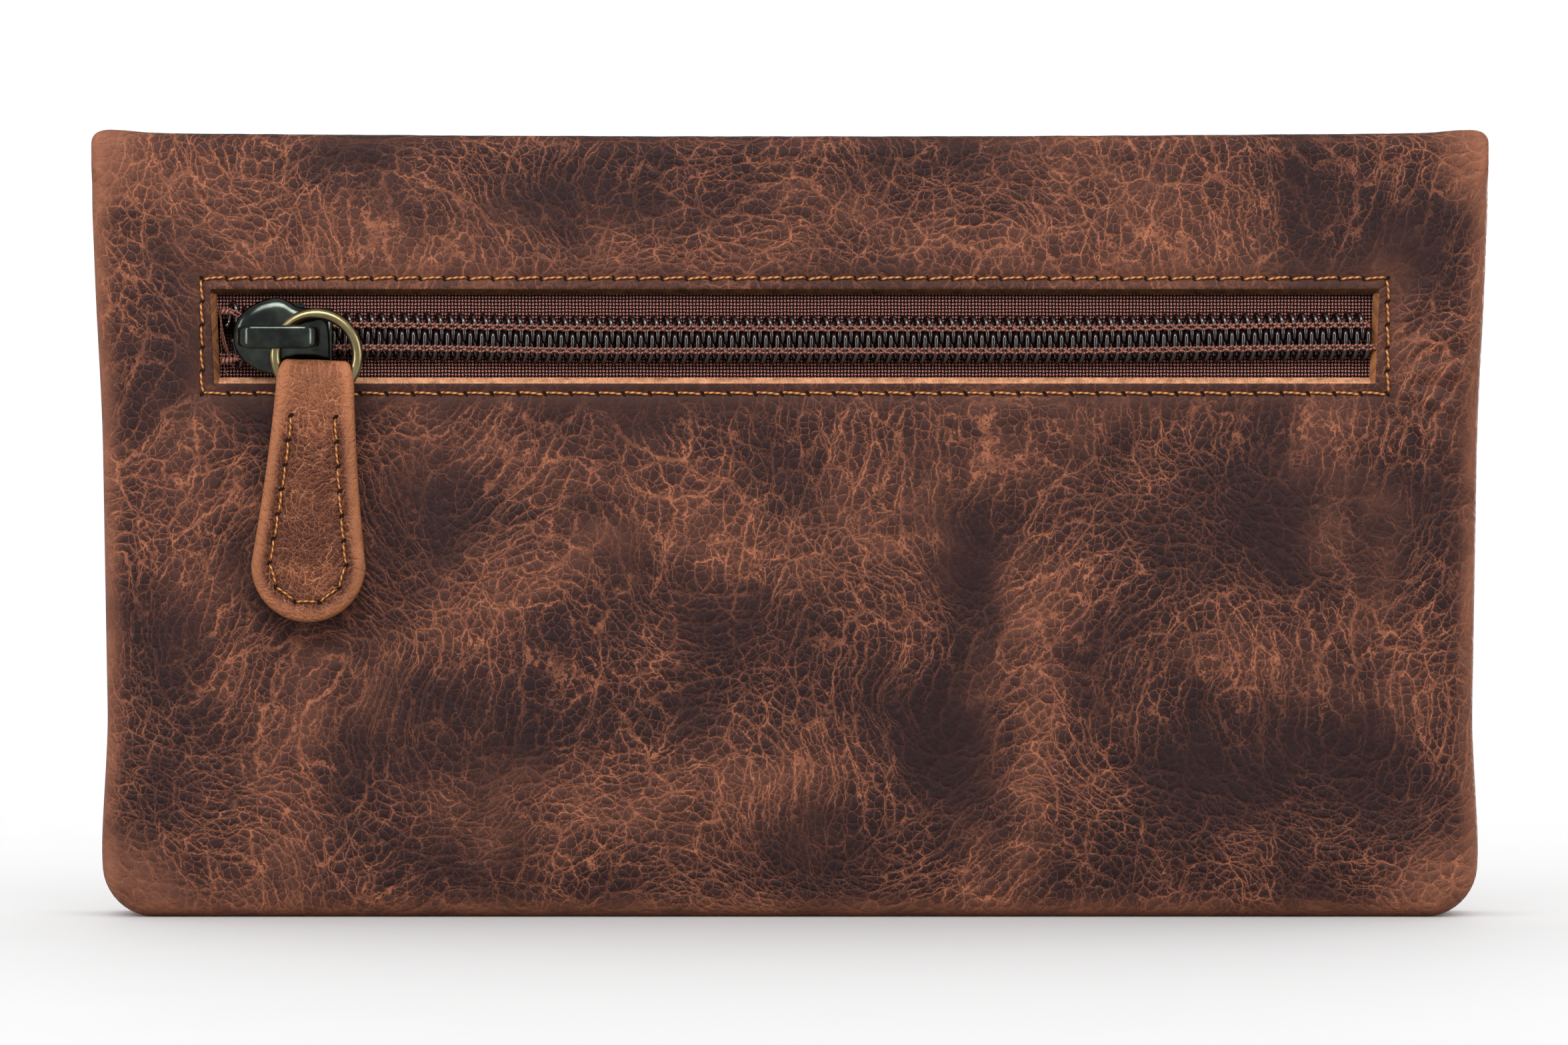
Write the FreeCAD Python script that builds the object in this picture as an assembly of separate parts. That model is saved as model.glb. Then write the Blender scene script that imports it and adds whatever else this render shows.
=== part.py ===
"""Fold-over leather pouch with a zipped pocket across its back panel.

Frame, in millimetres: +X to the right when facing the zip, -Y out of the zipped face, +Z up.
The origin is on the flat base, on the pouch's middle line. The pouch stands on its base with
the flap closed and the zip closed, its slider at the left end.

Bodies: the pouch itself, the spine strip over the top, the flap over the front, the zip
slider, the pull ring in the slider's bridge and the leather puller on the ring.
"""

import math
import os

import FreeCAD, Part

# ---- driving dimensions ----
HALF_TOP = 87.3          # half the width at the top fold
HALF_BOTTOM = 85.8       # half the width at the base
HEIGHT = 98.6
LEATHER = 1.4
LINING = 0.4
BACK_Y = -7.0            # outer face of the zipped back panel
SEAM_Y = 1.2             # where the back and front halves are sewn together
FRONT_Y = 6.4            # outer face of the front panel
FRONT_TOP = 91.0         # height of the front panel's mouth
CORNER_R = 6.0           # bottom corners, seen from the front
EDGE_R = 2.4             # rounding of a face into the sides and base
FLAP_GAP = 0.3
FOLD_R = 1.3             # outer radius of each fold, about its bending line
FLAP_BOTTOM = 24.0
FLAP_CORNER_R = 12.0
TURNED_EDGE = 8.0        # width of the turned-in leather border round a lining

ZIP_Z = 72.8             # height of the zip chain's middle line
WINDOW_LEFT, WINDOW_RIGHT, WINDOW_HALF = -71.5, 72.7, 5.3
WINDOW_R = 0.6
TAPE = 0.5
TAPE_HALF_WIDTH = 15.0
TAPE_END = 8.0           # how far the tapes run on under the leather past the window
TAPE_SLOT = 0.45         # half the slot between the two tapes, where the slider's post runs
COIL_HALF_WIDTH = 3.1
COIL_DEPTH = 2.0
COIL_PLAY = 0.05         # between a coil's end and the end of the window
CORE_CORD_R = 0.45
STITCH_PITCH, STITCH_LENGTH, STITCH_WIDTH, STITCH_PROUD = 3.05, 2.3, 0.5, 0.25
STITCH_OFFSET = 1.9

SLIDER_LEFT, SLIDER_RIGHT = -69.5, -57.0
SLIDER_HALF = 4.9
SLIDER_NECK = 3.9        # half height of the slider's straight rear end
PLATE = 1.0
RUNNING = 0.15           # play between the slider and the coils
BRIDGE_LEFT, BRIDGE_RIGHT = -68.8, -58.6
BRIDGE_HALF = 1.45
BRIDGE_LEG = 1.6
BRIDGE_BAR = 0.9
EYE = 3.4                # clear depth under the bridge

RING_X, RING_Z = -59.0, 70.5
RING_R, WIRE_R = 5.14, 0.7
PULLER_LAYER = 1.1
PULLER_TOP, PULLER_NECK_HALF = -0.6, 4.8
PULLER_END_R = 7.1
PULLER_LENGTH = 32.7
PULLER_LEAN = 2.2        # degrees that the puller hangs to the left of plumb
MAGNET_R, MAGNET, MAGNET_X, MAGNET_Z = 5.0, 0.9, 45.0, 34.0

# ---- derived places ----
INNER_BACK = BACK_Y + LEATHER
FLAP_INNER = FRONT_Y + FLAP_GAP
FLAP_T = LEATHER + 0.5
FLAP_OUTER = FLAP_INNER + FLAP_T
FOLD_TOP = HEIGHT - 2 * FOLD_R - 0.15    # where the back half and the flap panel end
BACK_FOLD_Y, FRONT_FOLD_Y = BACK_Y + FOLD_R, FLAP_OUTER - FOLD_R
FOLD_Z = HEIGHT - FOLD_R
POCKET_FRONT = INNER_BACK + TAPE + 0.05  # outer face of the zip pocket's front lining
DIVIDER = -2.7                           # outer face of the lining between pocket and main space
COIL_FACE = INNER_BACK - COIL_DEPTH
PLATE_BACK = COIL_FACE - RUNNING
PLATE_FACE = PLATE_BACK - PLATE
BRIDGE_UNDER = PLATE_FACE - EYE
RING_Y = PLATE_FACE - 0.15 - PULLER_LAYER - WIRE_R - 0.05
SLIDER_MID = (SLIDER_LEFT + SLIDER_RIGHT) / 2
V = FreeCAD.Vector


def box(x0, x1, y0, y1, z0, z1):
    return Part.makeBox(x1 - x0, y1 - y0, z1 - z0, V(x0, y0, z0))


def prism(points, y0, y1):
    """A solid from an XZ polygon, between two depths."""
    corners = [V(x, y0, z) for x, z in points]
    return Part.Face(Part.makePolygon(corners + corners[:1])).extrude(V(0, y1 - y0, 0))


def rounded(shape, radius, wanted):
    """Fillets the edges that wanted accepts by their bounding box."""
    edges = [e for e in shape.Edges if wanted(e.BoundBox)]
    return shape.makeFillet(radius, edges)


def half_width(z):
    return HALF_BOTTOM + (HALF_TOP - HALF_BOTTOM) * z / HEIGHT


def panel(y0, y1, z0, z1, corner_r, inset=0.0):
    """A flat panel that follows the pouch's tapered sides, with rounded bottom corners."""
    low, high = half_width(z0) - inset, half_width(z1) - inset
    solid = prism([(-low, z0), (low, z0), (high, z1), (-high, z1)], y0, y1)
    return rounded(solid, corner_r, lambda b: b.ZLength < 1e-6 and b.XLength < 1e-6 and b.ZMin < z0 + 1e-6)


def half_shell(face_y, top):
    """Half of the body: a face panel with side and bottom walls back to the seam, open at the top."""
    towards = 1.0 if face_y < SEAM_Y else -1.0
    inner_y = face_y + towards * LEATHER

    def filled(y, z0, z1, corner_r, edge_r, inset):
        solid = panel(min(y, SEAM_Y), max(y, SEAM_Y), z0, z1, corner_r, inset)
        return rounded(solid, edge_r, lambda b: b.YLength < 1e-6 and abs(b.YMin - y) < 1e-6 and b.ZMin < z1 - 1.0)

    outer = filled(face_y, 0.0, top, CORNER_R, EDGE_R, 0.0)
    cavity = filled(inner_y, LEATHER, top, CORNER_R - LEATHER, EDGE_R - LEATHER, LEATHER)
    return outer.cut(cavity)


def window(y0, y1, grow=0.0):
    """The zip opening as a solid to cut with, larger all round by grow."""
    solid = box(WINDOW_LEFT - grow, WINDOW_RIGHT + grow, y0, y1,
                ZIP_Z - WINDOW_HALF - grow, ZIP_Z + WINDOW_HALF + grow)
    return rounded(solid, WINDOW_R, lambda b: b.YLength > 1e-6)


def magnet_discs(y):
    """The two closure magnets that sit side by side in one layer."""
    return Part.makeCompound([
        Part.makeCylinder(MAGNET_R, MAGNET, V(side * MAGNET_X, y, MAGNET_Z), V(0, 1, 0)) for side in (-1, 1)
    ])


def stitch_row(start, end, y0, y1):
    """Stitches end to end along a straight line in a face, one small solid each."""
    along = end - start
    count = max(1, round(along.Length / STITCH_PITCH))
    angle = math.degrees(math.atan2(-along.z, along.x))
    stitches = []
    for i in range(count):
        middle = start + along * ((i + 0.5) / count)
        stitch = box(-STITCH_LENGTH / 2, STITCH_LENGTH / 2, y0, y1, -STITCH_WIDTH / 2, STITCH_WIDTH / 2)
        stitch.rotate(V(0, 0, 0), V(0, 1, 0), angle)
        stitch.translate(V(middle.x, 0, middle.z))
        stitches.append(stitch)
    return stitches


# ---- the pouch's leather and linings ----
def back_leather():
    hole = window(BACK_Y - 1, INNER_BACK + 1)
    return half_shell(BACK_Y, FOLD_TOP).cut(hole)


def front_leather():
    recess = magnet_discs(FRONT_Y - LEATHER)
    return half_shell(FRONT_Y, FRONT_TOP).cut(recess)


def front_lining():
    y1 = FRONT_Y - LEATHER - 0.05
    return panel(y1 - LINING, y1, 3.0, FRONT_TOP - 0.5, CORNER_R - 3, 3.0)


def pocket_front_lining():
    hole = window(POCKET_FRONT - 1, POCKET_FRONT + 1, 5.0)
    return panel(POCKET_FRONT, POCKET_FRONT + LINING, 4.5, FOLD_TOP - 1.0, CORNER_R - 3, 4.0).cut(hole)


def divider_lining():
    return panel(DIVIDER, DIVIDER + LINING, 2.0, FOLD_TOP - 1.0, CORNER_R - 3, 2.0)


def seam_binding():
    """The tape that binds the turned seam round the inside of the sides and base."""
    wall, width = LEATHER + 0.05, 0.8
    outer = panel(SEAM_Y - 1.5, SEAM_Y + 1.5, wall, FRONT_TOP - 2, CORNER_R - wall, wall)
    inner = panel(SEAM_Y - 2, SEAM_Y + 2, wall + width, FRONT_TOP, CORNER_R - wall - width, wall + width)
    return outer.cut(inner)


# ---- the zip ----
def zip_tape(side):
    near, far = side * TAPE_SLOT, side * TAPE_HALF_WIDTH
    return box(WINDOW_LEFT - TAPE_END, WINDOW_RIGHT + TAPE_END, INNER_BACK, INNER_BACK + TAPE,
               ZIP_Z + min(near, far), ZIP_Z + max(near, far))


def coil_middle(side):
    return ZIP_Z + side * (TAPE_SLOT + COIL_HALF_WIDTH) / 2


def coil_bore(side, radius):
    """A rod along the middle of one side's coil, as long as the coil."""
    start = V(WINDOW_LEFT + COIL_PLAY, (COIL_FACE + INNER_BACK) / 2, coil_middle(side))
    return Part.makeCylinder(radius, WINDOW_RIGHT - WINDOW_LEFT - 2 * COIL_PLAY, start, V(1, 0, 0))


def zip_coil(side):
    """One side's coil as the oval tube that its turns wind, with the core cord's bore through it."""
    near, far = side * TAPE_SLOT, side * COIL_HALF_WIDTH
    solid = box(WINDOW_LEFT + COIL_PLAY, WINDOW_RIGHT - COIL_PLAY, COIL_FACE, INNER_BACK,
                ZIP_Z + min(near, far), ZIP_Z + max(near, far))
    solid = rounded(solid, 0.6, lambda b: b.XLength > 10 and b.YMin < COIL_FACE + 1e-6)
    return solid.cut(coil_bore(side, CORE_CORD_R))


def core_cord(side):
    return coil_bore(side, CORE_CORD_R - 0.02)


def stops(x, faces):
    """The metal stops that clamp a tape past the window, hidden by the leather."""
    return Part.makeCompound([
        box(x - 1.2, x + 1.2, INNER_BACK + TAPE, INNER_BACK + TAPE + 0.5, ZIP_Z + z0, ZIP_Z + z1) for z0, z1 in faces
    ])


def window_stitching():
    left, right = WINDOW_LEFT - STITCH_OFFSET, WINDOW_RIGHT + STITCH_OFFSET
    low, high = ZIP_Z - WINDOW_HALF - STITCH_OFFSET, ZIP_Z + WINDOW_HALF + STITCH_OFFSET
    corners = [V(left, 0, low), V(left, 0, high), V(right, 0, high), V(right, 0, low)]
    rows = []
    for start, end in zip(corners, corners[1:] + corners[:1]):
        rows += stitch_row(start, end, BACK_Y - STITCH_PROUD, BACK_Y)
    return Part.makeCompound(rows)


def mouth_stitching():
    """The row that hems the front panel's mouth, under the flap."""
    z = FRONT_TOP - 4.0
    return Part.makeCompound(stitch_row(V(-80, 0, z), V(80, 0, z), FRONT_Y, FRONT_Y + 0.2))


# ---- the fold-over flap ----
def lining_bed(solid, y0, y1, z0, z1, corner_r):
    """Cuts the shallow bed that a lining lies in, inside the turned edges."""
    return solid.cut(panel(y0, y1, z0, z1, corner_r, TURNED_EDGE))


def flap_leather():
    solid = panel(FLAP_INNER, FLAP_OUTER, FLAP_BOTTOM, FOLD_TOP, FLAP_CORNER_R)
    solid = rounded(solid, 0.8, lambda b: b.YLength < 1e-6 and b.YMin > FLAP_OUTER - 1e-6 and b.ZMin < FOLD_TOP - 1)
    bed_top = FOLD_TOP + 1
    solid = lining_bed(solid, FLAP_INNER - 1, FLAP_INNER + 0.5, FLAP_BOTTOM + TURNED_EDGE - 2, bed_top, 5.0)
    return solid.cut(magnet_discs(FLAP_INNER + 0.5))


def flap_lining():
    z0 = FLAP_BOTTOM + TURNED_EDGE - 1.9
    return panel(FLAP_INNER, FLAP_INNER + 0.48, z0, FOLD_TOP, 5.0, TURNED_EDGE + 0.1)


def spine_leather():
    """The strip over the top, with a rolled fold along each long edge."""
    bed = HALF_TOP - TURNED_EDGE
    strip = box(-HALF_TOP, HALF_TOP, BACK_FOLD_Y, FRONT_FOLD_Y, HEIGHT - FLAP_T, HEIGHT)
    strip = strip.cut(box(-bed, bed, BACK_FOLD_Y - 1, FRONT_FOLD_Y + 1, HEIGHT - FLAP_T - 1, HEIGHT - LEATHER))
    rolls = [
        Part.makeCylinder(FOLD_R, 2 * HALF_TOP, V(-HALF_TOP, y, FOLD_Z), V(1, 0, 0))
        for y in (BACK_FOLD_Y, FRONT_FOLD_Y)
    ]
    return strip.fuse(rolls).removeSplitter()


def spine_lining():
    half = HALF_TOP - TURNED_EDGE - 0.1
    clear = FOLD_R + 0.02
    return box(-half, half, BACK_FOLD_Y + clear, FRONT_FOLD_Y - clear, HEIGHT - FLAP_T, HEIGHT - LEATHER - 0.02)


# ---- the slider, ring and puller ----
def slider_outline(y, grow=0.0):
    """The shield shape of a slider plate: rounded nose, wide shoulders and a straight rear end."""
    def at(x, z):
        return V(x, y, ZIP_Z + z)

    nose, tip, neck = SLIDER_LEFT - grow, SLIDER_HALF + grow, SLIDER_NECK + grow
    tip_x, neck_x, rear = SLIDER_MID - 1.2, SLIDER_MID + 2.0, SLIDER_RIGHT + grow
    edges = [
        Part.Arc(at(tip_x, tip), at(nose + 1.45, 0.56 * tip), at(nose, 0)).toShape(),
        Part.Arc(at(nose, 0), at(nose + 1.45, -0.56 * tip), at(tip_x, -tip)).toShape(),
        Part.makeLine(at(tip_x, -tip), at(neck_x, -neck)),
        Part.makeLine(at(neck_x, -neck), at(rear, -neck)),
        Part.makeLine(at(rear, -neck), at(rear, neck)),
        Part.makeLine(at(rear, neck), at(neck_x, neck)),
        Part.makeLine(at(neck_x, neck), at(tip_x, tip)),
    ]
    return Part.Face(Part.Wire(edges))


def slider_body():
    """Two shield plates joined by the post, with flanges that reach round the coils to the tapes."""
    front = slider_outline(PLATE_FACE).extrude(V(0, PLATE, 0))
    back = slider_outline(INNER_BACK + TAPE + RUNNING).extrude(V(0, PLATE, 0))
    flange = slider_outline(PLATE_BACK).extrude(V(0, INNER_BACK - RUNNING - PLATE_BACK, 0))
    channel = COIL_HALF_WIDTH + RUNNING
    flange = flange.cut(box(SLIDER_LEFT - 1, SLIDER_RIGHT + 1, PLATE_BACK - 1, INNER_BACK + 1,
                            ZIP_Z - channel, ZIP_Z + channel))
    post_back = INNER_BACK + TAPE + RUNNING
    post = box(SLIDER_LEFT + 0.6, SLIDER_LEFT + 4.0, PLATE_BACK, post_back, ZIP_Z - 0.3, ZIP_Z + 0.3)
    return front.fuse([flange, post, back]).removeSplitter()


def slider_bridge():
    """The arched strap on the slider's face; the ring's wire runs in the eye beneath it."""
    solid = box(BRIDGE_LEFT, BRIDGE_RIGHT, BRIDGE_UNDER - BRIDGE_BAR, PLATE_FACE,
                ZIP_Z - BRIDGE_HALF, ZIP_Z + BRIDGE_HALF)
    outer = BRIDGE_UNDER - BRIDGE_BAR
    solid = rounded(solid, 1.4, lambda b: b.ZLength > 1e-6 and b.XLength < 1e-6 and b.YMax < outer + 1e-6)
    eye = box(BRIDGE_LEFT + BRIDGE_LEG, BRIDGE_RIGHT - BRIDGE_LEG, BRIDGE_UNDER, PLATE_FACE + 1,
              ZIP_Z - 3, ZIP_Z + 3)
    return solid.cut(eye)


def pull_ring():
    return Part.makeTorus(RING_R, WIRE_R, V(RING_X, RING_Y, RING_Z), V(0, 1, 0))


def puller_blank(y0, y1, inset=0.0, top=PULLER_TOP):
    """The drop-shaped tab: narrow at the ring, round at the free end, in the ring's own axes."""
    end_z = PULLER_TOP - PULLER_LENGTH + PULLER_END_R
    radius = PULLER_END_R - inset
    slope = math.asin((PULLER_END_R - PULLER_NECK_HALF) / (PULLER_TOP - end_z))
    side_x, side_z = radius * math.cos(slope), end_z + radius * math.sin(slope)
    neck = side_x - (top - side_z) * math.tan(slope)

    def at(x, z):
        return V(x, y0, z)

    edges = [
        Part.makeLine(at(-neck, top), at(neck, top)),
        Part.makeLine(at(neck, top), at(side_x, side_z)),
        Part.Arc(at(side_x, side_z), at(0, end_z - radius), at(-side_x, side_z)).toShape(),
        Part.makeLine(at(-side_x, side_z), at(-neck, top)),
    ]
    return Part.Face(Part.Wire(edges)).extrude(V(0, y1 - y0, 0))


def hang(shape):
    """Puts a puller piece, made about the ring's centre, on the ring at its natural lean."""
    shape.rotate(V(0, 0, 0), V(0, 1, 0), PULLER_LEAN)
    shape.translate(V(RING_X, RING_Y, RING_Z))
    return shape


LOOP_HALF = WIRE_R + 0.05 + PULLER_LAYER
CORE_TOP = -RING_R - WIRE_R - 0.6
CORE_HALF = WIRE_R + 0.05


def puller_leather():
    """One strip folded over the ring: two layers, the ring's tunnel under the fold and the core's slot below it.

    The ring's sides press a notch into each end of the fold, because the strip is as wide as the ring's hole.
    """
    solid = puller_blank(-LOOP_HALF, LOOP_HALF)
    solid = rounded(solid, 0.9, lambda b: b.ZMax > PULLER_TOP - 1e-6 and b.ZLength < 1e-6 and b.XLength > 1)
    slot = box(-20, 20, -CORE_HALF, CORE_HALF, -50, PULLER_TOP - PULLER_LAYER + 0.3)
    notch = Part.makeTorus(RING_R, WIRE_R + 0.05, V(0, 0, 0), V(0, 1, 0))
    return hang(solid.cut(slot).cut(notch))


def puller_core():
    return hang(puller_blank(-CORE_HALF, CORE_HALF, 0.0, CORE_TOP))


def puller_stitching():
    """Two rows down the tab and round its end, on its outer face."""
    inset, top = 2.1, -7.6
    end_z = PULLER_TOP - PULLER_LENGTH + PULLER_END_R
    slope = math.asin((PULLER_END_R - PULLER_NECK_HALF) / (PULLER_TOP - end_z))
    radius = PULLER_END_R - inset
    y0, y1 = -LOOP_HALF - 0.2, -LOOP_HALF
    side_x, side_z = radius * math.cos(slope), end_z + radius * math.sin(slope)
    neck = side_x - (top - side_z) * math.tan(slope)
    rows = []
    for side in (-1, 1):
        rows += stitch_row(V(side * neck, 0, top), V(side * side_x, 0, side_z), y0, y1)
    turn = [V(radius * math.cos(a), 0, end_z + radius * math.sin(a))
            for a in (slope - (math.pi + 2 * slope) * i / 6 for i in range(7))]
    for start, end in zip(turn, turn[1:]):
        rows += stitch_row(start, start + (end - start), y0, y1)
    return hang(Part.makeCompound(rows))


PARTS = {
    "back_leather": back_leather,
    "front_leather": front_leather,
    "front_lining": front_lining,
    "pocket_front_lining": pocket_front_lining,
    "divider_lining": divider_lining,
    "seam_binding": seam_binding,
    "zip_tape_upper": lambda: zip_tape(1),
    "zip_tape_lower": lambda: zip_tape(-1),
    "zip_coil_upper": lambda: zip_coil(1),
    "zip_coil_lower": lambda: zip_coil(-1),
    "core_cord_upper": lambda: core_cord(1),
    "core_cord_lower": lambda: core_cord(-1),
    "zip_top_stops": lambda: stops(WINDOW_LEFT - 3, [(-3.2, -0.6), (0.6, 3.2)]),
    "zip_bottom_stop": lambda: stops(WINDOW_RIGHT + 3, [(-3.2, 3.2)]),
    "window_stitching": window_stitching,
    "mouth_stitching": mouth_stitching,
    "body_magnets": lambda: magnet_discs(FRONT_Y - LEATHER),
    "spine_leather": spine_leather,
    "spine_lining": spine_lining,
    "flap_leather": flap_leather,
    "flap_lining": flap_lining,
    "flap_magnets": lambda: magnet_discs(FLAP_INNER + 0.5),
    "slider_body": slider_body,
    "slider_bridge": slider_bridge,
    "pull_ring": pull_ring,
    "puller_leather": puller_leather,
    "puller_core": puller_core,
    "puller_stitching": puller_stitching,
}


def main():
    os.makedirs("parts", exist_ok=True)
    for name, make in PARTS.items():
        shape = make()
        solids = shape.Solids
        if not solids or not all(s.isValid() for s in solids):
            raise ValueError(f"{name} is not made of valid solids")
        print(f"{name}: {len(solids)} solid(s), {shape.Volume:.1f} mm3")
        shape.exportStep(f"parts/{name}.step")
    print("fold lines at y", BACK_FOLD_Y, FRONT_FOLD_Y, "z", FOLD_Z, "ring's centre", RING_X, RING_Y, RING_Z)


main()
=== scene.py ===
"""Looks for the fold-over leather pouch with a zip pocket across its back.

Lengths are in millimetres, in the model's frame, and turn into metres when a mesh is made. x runs along the pouch,
y from the zipped back panel to the flap and z up. s and t are lengths up a panel's unrolled pattern.
"""

import math

import bmesh
import bpy
import numpy as np
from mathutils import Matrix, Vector, noise


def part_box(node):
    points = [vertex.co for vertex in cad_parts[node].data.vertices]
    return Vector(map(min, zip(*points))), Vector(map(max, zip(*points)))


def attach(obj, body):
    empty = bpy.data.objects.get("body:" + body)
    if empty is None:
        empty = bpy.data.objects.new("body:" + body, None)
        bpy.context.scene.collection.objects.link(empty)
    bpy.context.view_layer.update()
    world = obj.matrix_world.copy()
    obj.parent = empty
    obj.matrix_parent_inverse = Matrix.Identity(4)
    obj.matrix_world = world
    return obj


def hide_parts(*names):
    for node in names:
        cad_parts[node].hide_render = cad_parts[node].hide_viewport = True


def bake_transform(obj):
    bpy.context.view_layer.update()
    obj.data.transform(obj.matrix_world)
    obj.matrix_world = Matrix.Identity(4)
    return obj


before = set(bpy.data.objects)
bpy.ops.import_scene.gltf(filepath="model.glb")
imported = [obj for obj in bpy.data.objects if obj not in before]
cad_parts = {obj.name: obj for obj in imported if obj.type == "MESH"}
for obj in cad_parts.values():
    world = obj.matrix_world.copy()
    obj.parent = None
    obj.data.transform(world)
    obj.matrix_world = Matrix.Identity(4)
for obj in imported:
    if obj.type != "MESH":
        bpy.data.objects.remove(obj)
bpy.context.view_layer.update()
MM = 0.001
UV_PER_MM = 0.01
QUARTER = math.pi / 2
EPS = 1e-6
FINE = 0.58      # spacing of the leather's grid


def span(node, axis):
    """A node's lowest and highest millimetre along an axis."""
    low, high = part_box(node)
    return low[axis] / MM, high[axis] / MM


# ---- places taken from the model ----
HALF, TOP = span("spine_leather", 0)[1], span("spine_leather", 2)[1]
BACK_Y, SEAM_Y = span("back_leather", 1)
FRONT_Y, FRONT_TOP = span("front_leather", 1)[1], span("front_leather", 2)[1]
FLAP_INNER, FLAP_OUTER = span("flap_leather", 1)
FLAP_BOTTOM = span("flap_leather", 2)[0]
FLAP_THICK = FLAP_OUTER - FLAP_INNER
WINDOW_X = span("zip_coil_upper", 0)
ZIP_Z = (span("zip_coil_upper", 2)[1] + span("zip_coil_lower", 2)[0]) / 2
WINDOW_HALF = 5.3
TAPE_Y = sum(span("zip_tape_upper", 1)) / 2
TAPE_HALF = span("zip_tape_upper", 2)[1] - ZIP_Z
STITCH_X, STITCH_Z = ((low + 0.25, high - 0.25) for low, high in (span("window_stitching", axis) for axis in (0, 2)))
SLIDER_X = span("slider_body", 0)
BRIDGE_X, BRIDGE_Y, BRIDGE_Z = (span("slider_bridge", axis) for axis in range(3))
RING_X, RING_Y, RING_Z = (sum(span("pull_ring", axis)) / 2 for axis in range(3))
WIRE_R = (span("pull_ring", 1)[1] - span("pull_ring", 1)[0]) / 2
RING_R = (span("pull_ring", 0)[1] - span("pull_ring", 0)[0]) / 2 - WIRE_R
THICK = 1.4
CUT_X = WINDOW_X[0] - 0.7, WINDOW_X[1] + 0.7      # the hole in the leather, before its edge turns in
CUT_Z = ZIP_Z - WINDOW_HALF - 0.6, ZIP_Z + WINDOW_HALF + 0.6


# ---- small maths ----
def smooth(t):
    t = np.clip(t, 0.0, 1.0)
    return t * t * (3 - 2 * t)


def bell(x, middle, width):
    return np.exp(-(((x - middle) / width) ** 2))


def steps(start, end, pitch):
    """Evenly spaced values from start to end, about pitch apart, both ends included."""
    return np.linspace(start, end, max(2, int(round(abs(end - start) / pitch)) + 1))


def joined(*runs):
    """Runs of values that share their end points, as one run."""
    return np.concatenate([runs[0]] + [run[1:] for run in runs[1:]])


def wander(x, y, size, seed, octaves=3):
    """Smooth noise of about unit height over points, with features of the given size."""
    return np.array([noise.fractal(Vector((a / size, b / size, seed)), 1.0, 2.0, octaves) for a, b in zip(x, y)])


def lengths_along(path):
    """How far along a path each of its points lies."""
    return np.concatenate([[0], np.cumsum(np.linalg.norm(np.diff(path, axis=0), axis=1))])


# ---- meshes ----
def grid_faces(rows, cols, hole=None):
    """Quads of a grid of points that runs row by row; hole tells which ones are left out."""
    return [[a, a + 1, a + cols + 1, a + cols] for i in range(rows - 1) for j in range(cols - 1)
            for a in [i * cols + j] if not (hole and hole(i, j))]


def grid_hole(xs, ss, x_span, s_span):
    """Tells which quads of a grid lie inside a rectangle."""
    def hole(i, j):
        x, s = 0.5 * (xs[j] + xs[j + 1]), 0.5 * (ss[i] + ss[i + 1])
        return x_span[0] < x < x_span[1] and s_span[0] < s < s_span[1]
    return hole


def band(a, b):
    """Quads between two closed rings of point numbers."""
    n = len(a)
    return [[a[i], a[(i + 1) % n], b[(i + 1) % n], b[i]] for i in range(n)]


def mesh_object(name, points, faces, material, uv, colors=None, smooth_shade=True):
    """A mesh object from points and their pattern coordinates in millimetres; colors are per-point attributes."""
    mesh = bpy.data.meshes.new(name)
    mesh.from_pydata([tuple(p) for p in np.asarray(points, float) * MM], [], faces)
    loops = np.empty(len(mesh.loops), np.int32)
    mesh.loops.foreach_get("vertex_index", loops)
    layer = mesh.uv_layers.new(name="flat")
    layer.data.foreach_set("uv", (np.asarray(uv, float)[loops] * UV_PER_MM).astype(np.float32).ravel())
    for key, values in (colors or {}).items():
        attribute = mesh.attributes.new(key, "FLOAT_COLOR", "POINT")
        attribute.data.foreach_set("color", np.asarray(values, np.float32).ravel())
    mesh.validate()
    if smooth_shade:
        mesh.shade_smooth()
    mesh.materials.append(material)
    obj = bpy.data.objects.new(name, mesh)
    bpy.context.scene.collection.objects.link(obj)
    return obj


def place_piece(obj, body, slot, *nodes):
    """Rides a piece on its body, in place of the CAD nodes that it stands for."""
    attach(obj, body)
    if nodes:
        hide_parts(*nodes)


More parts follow.
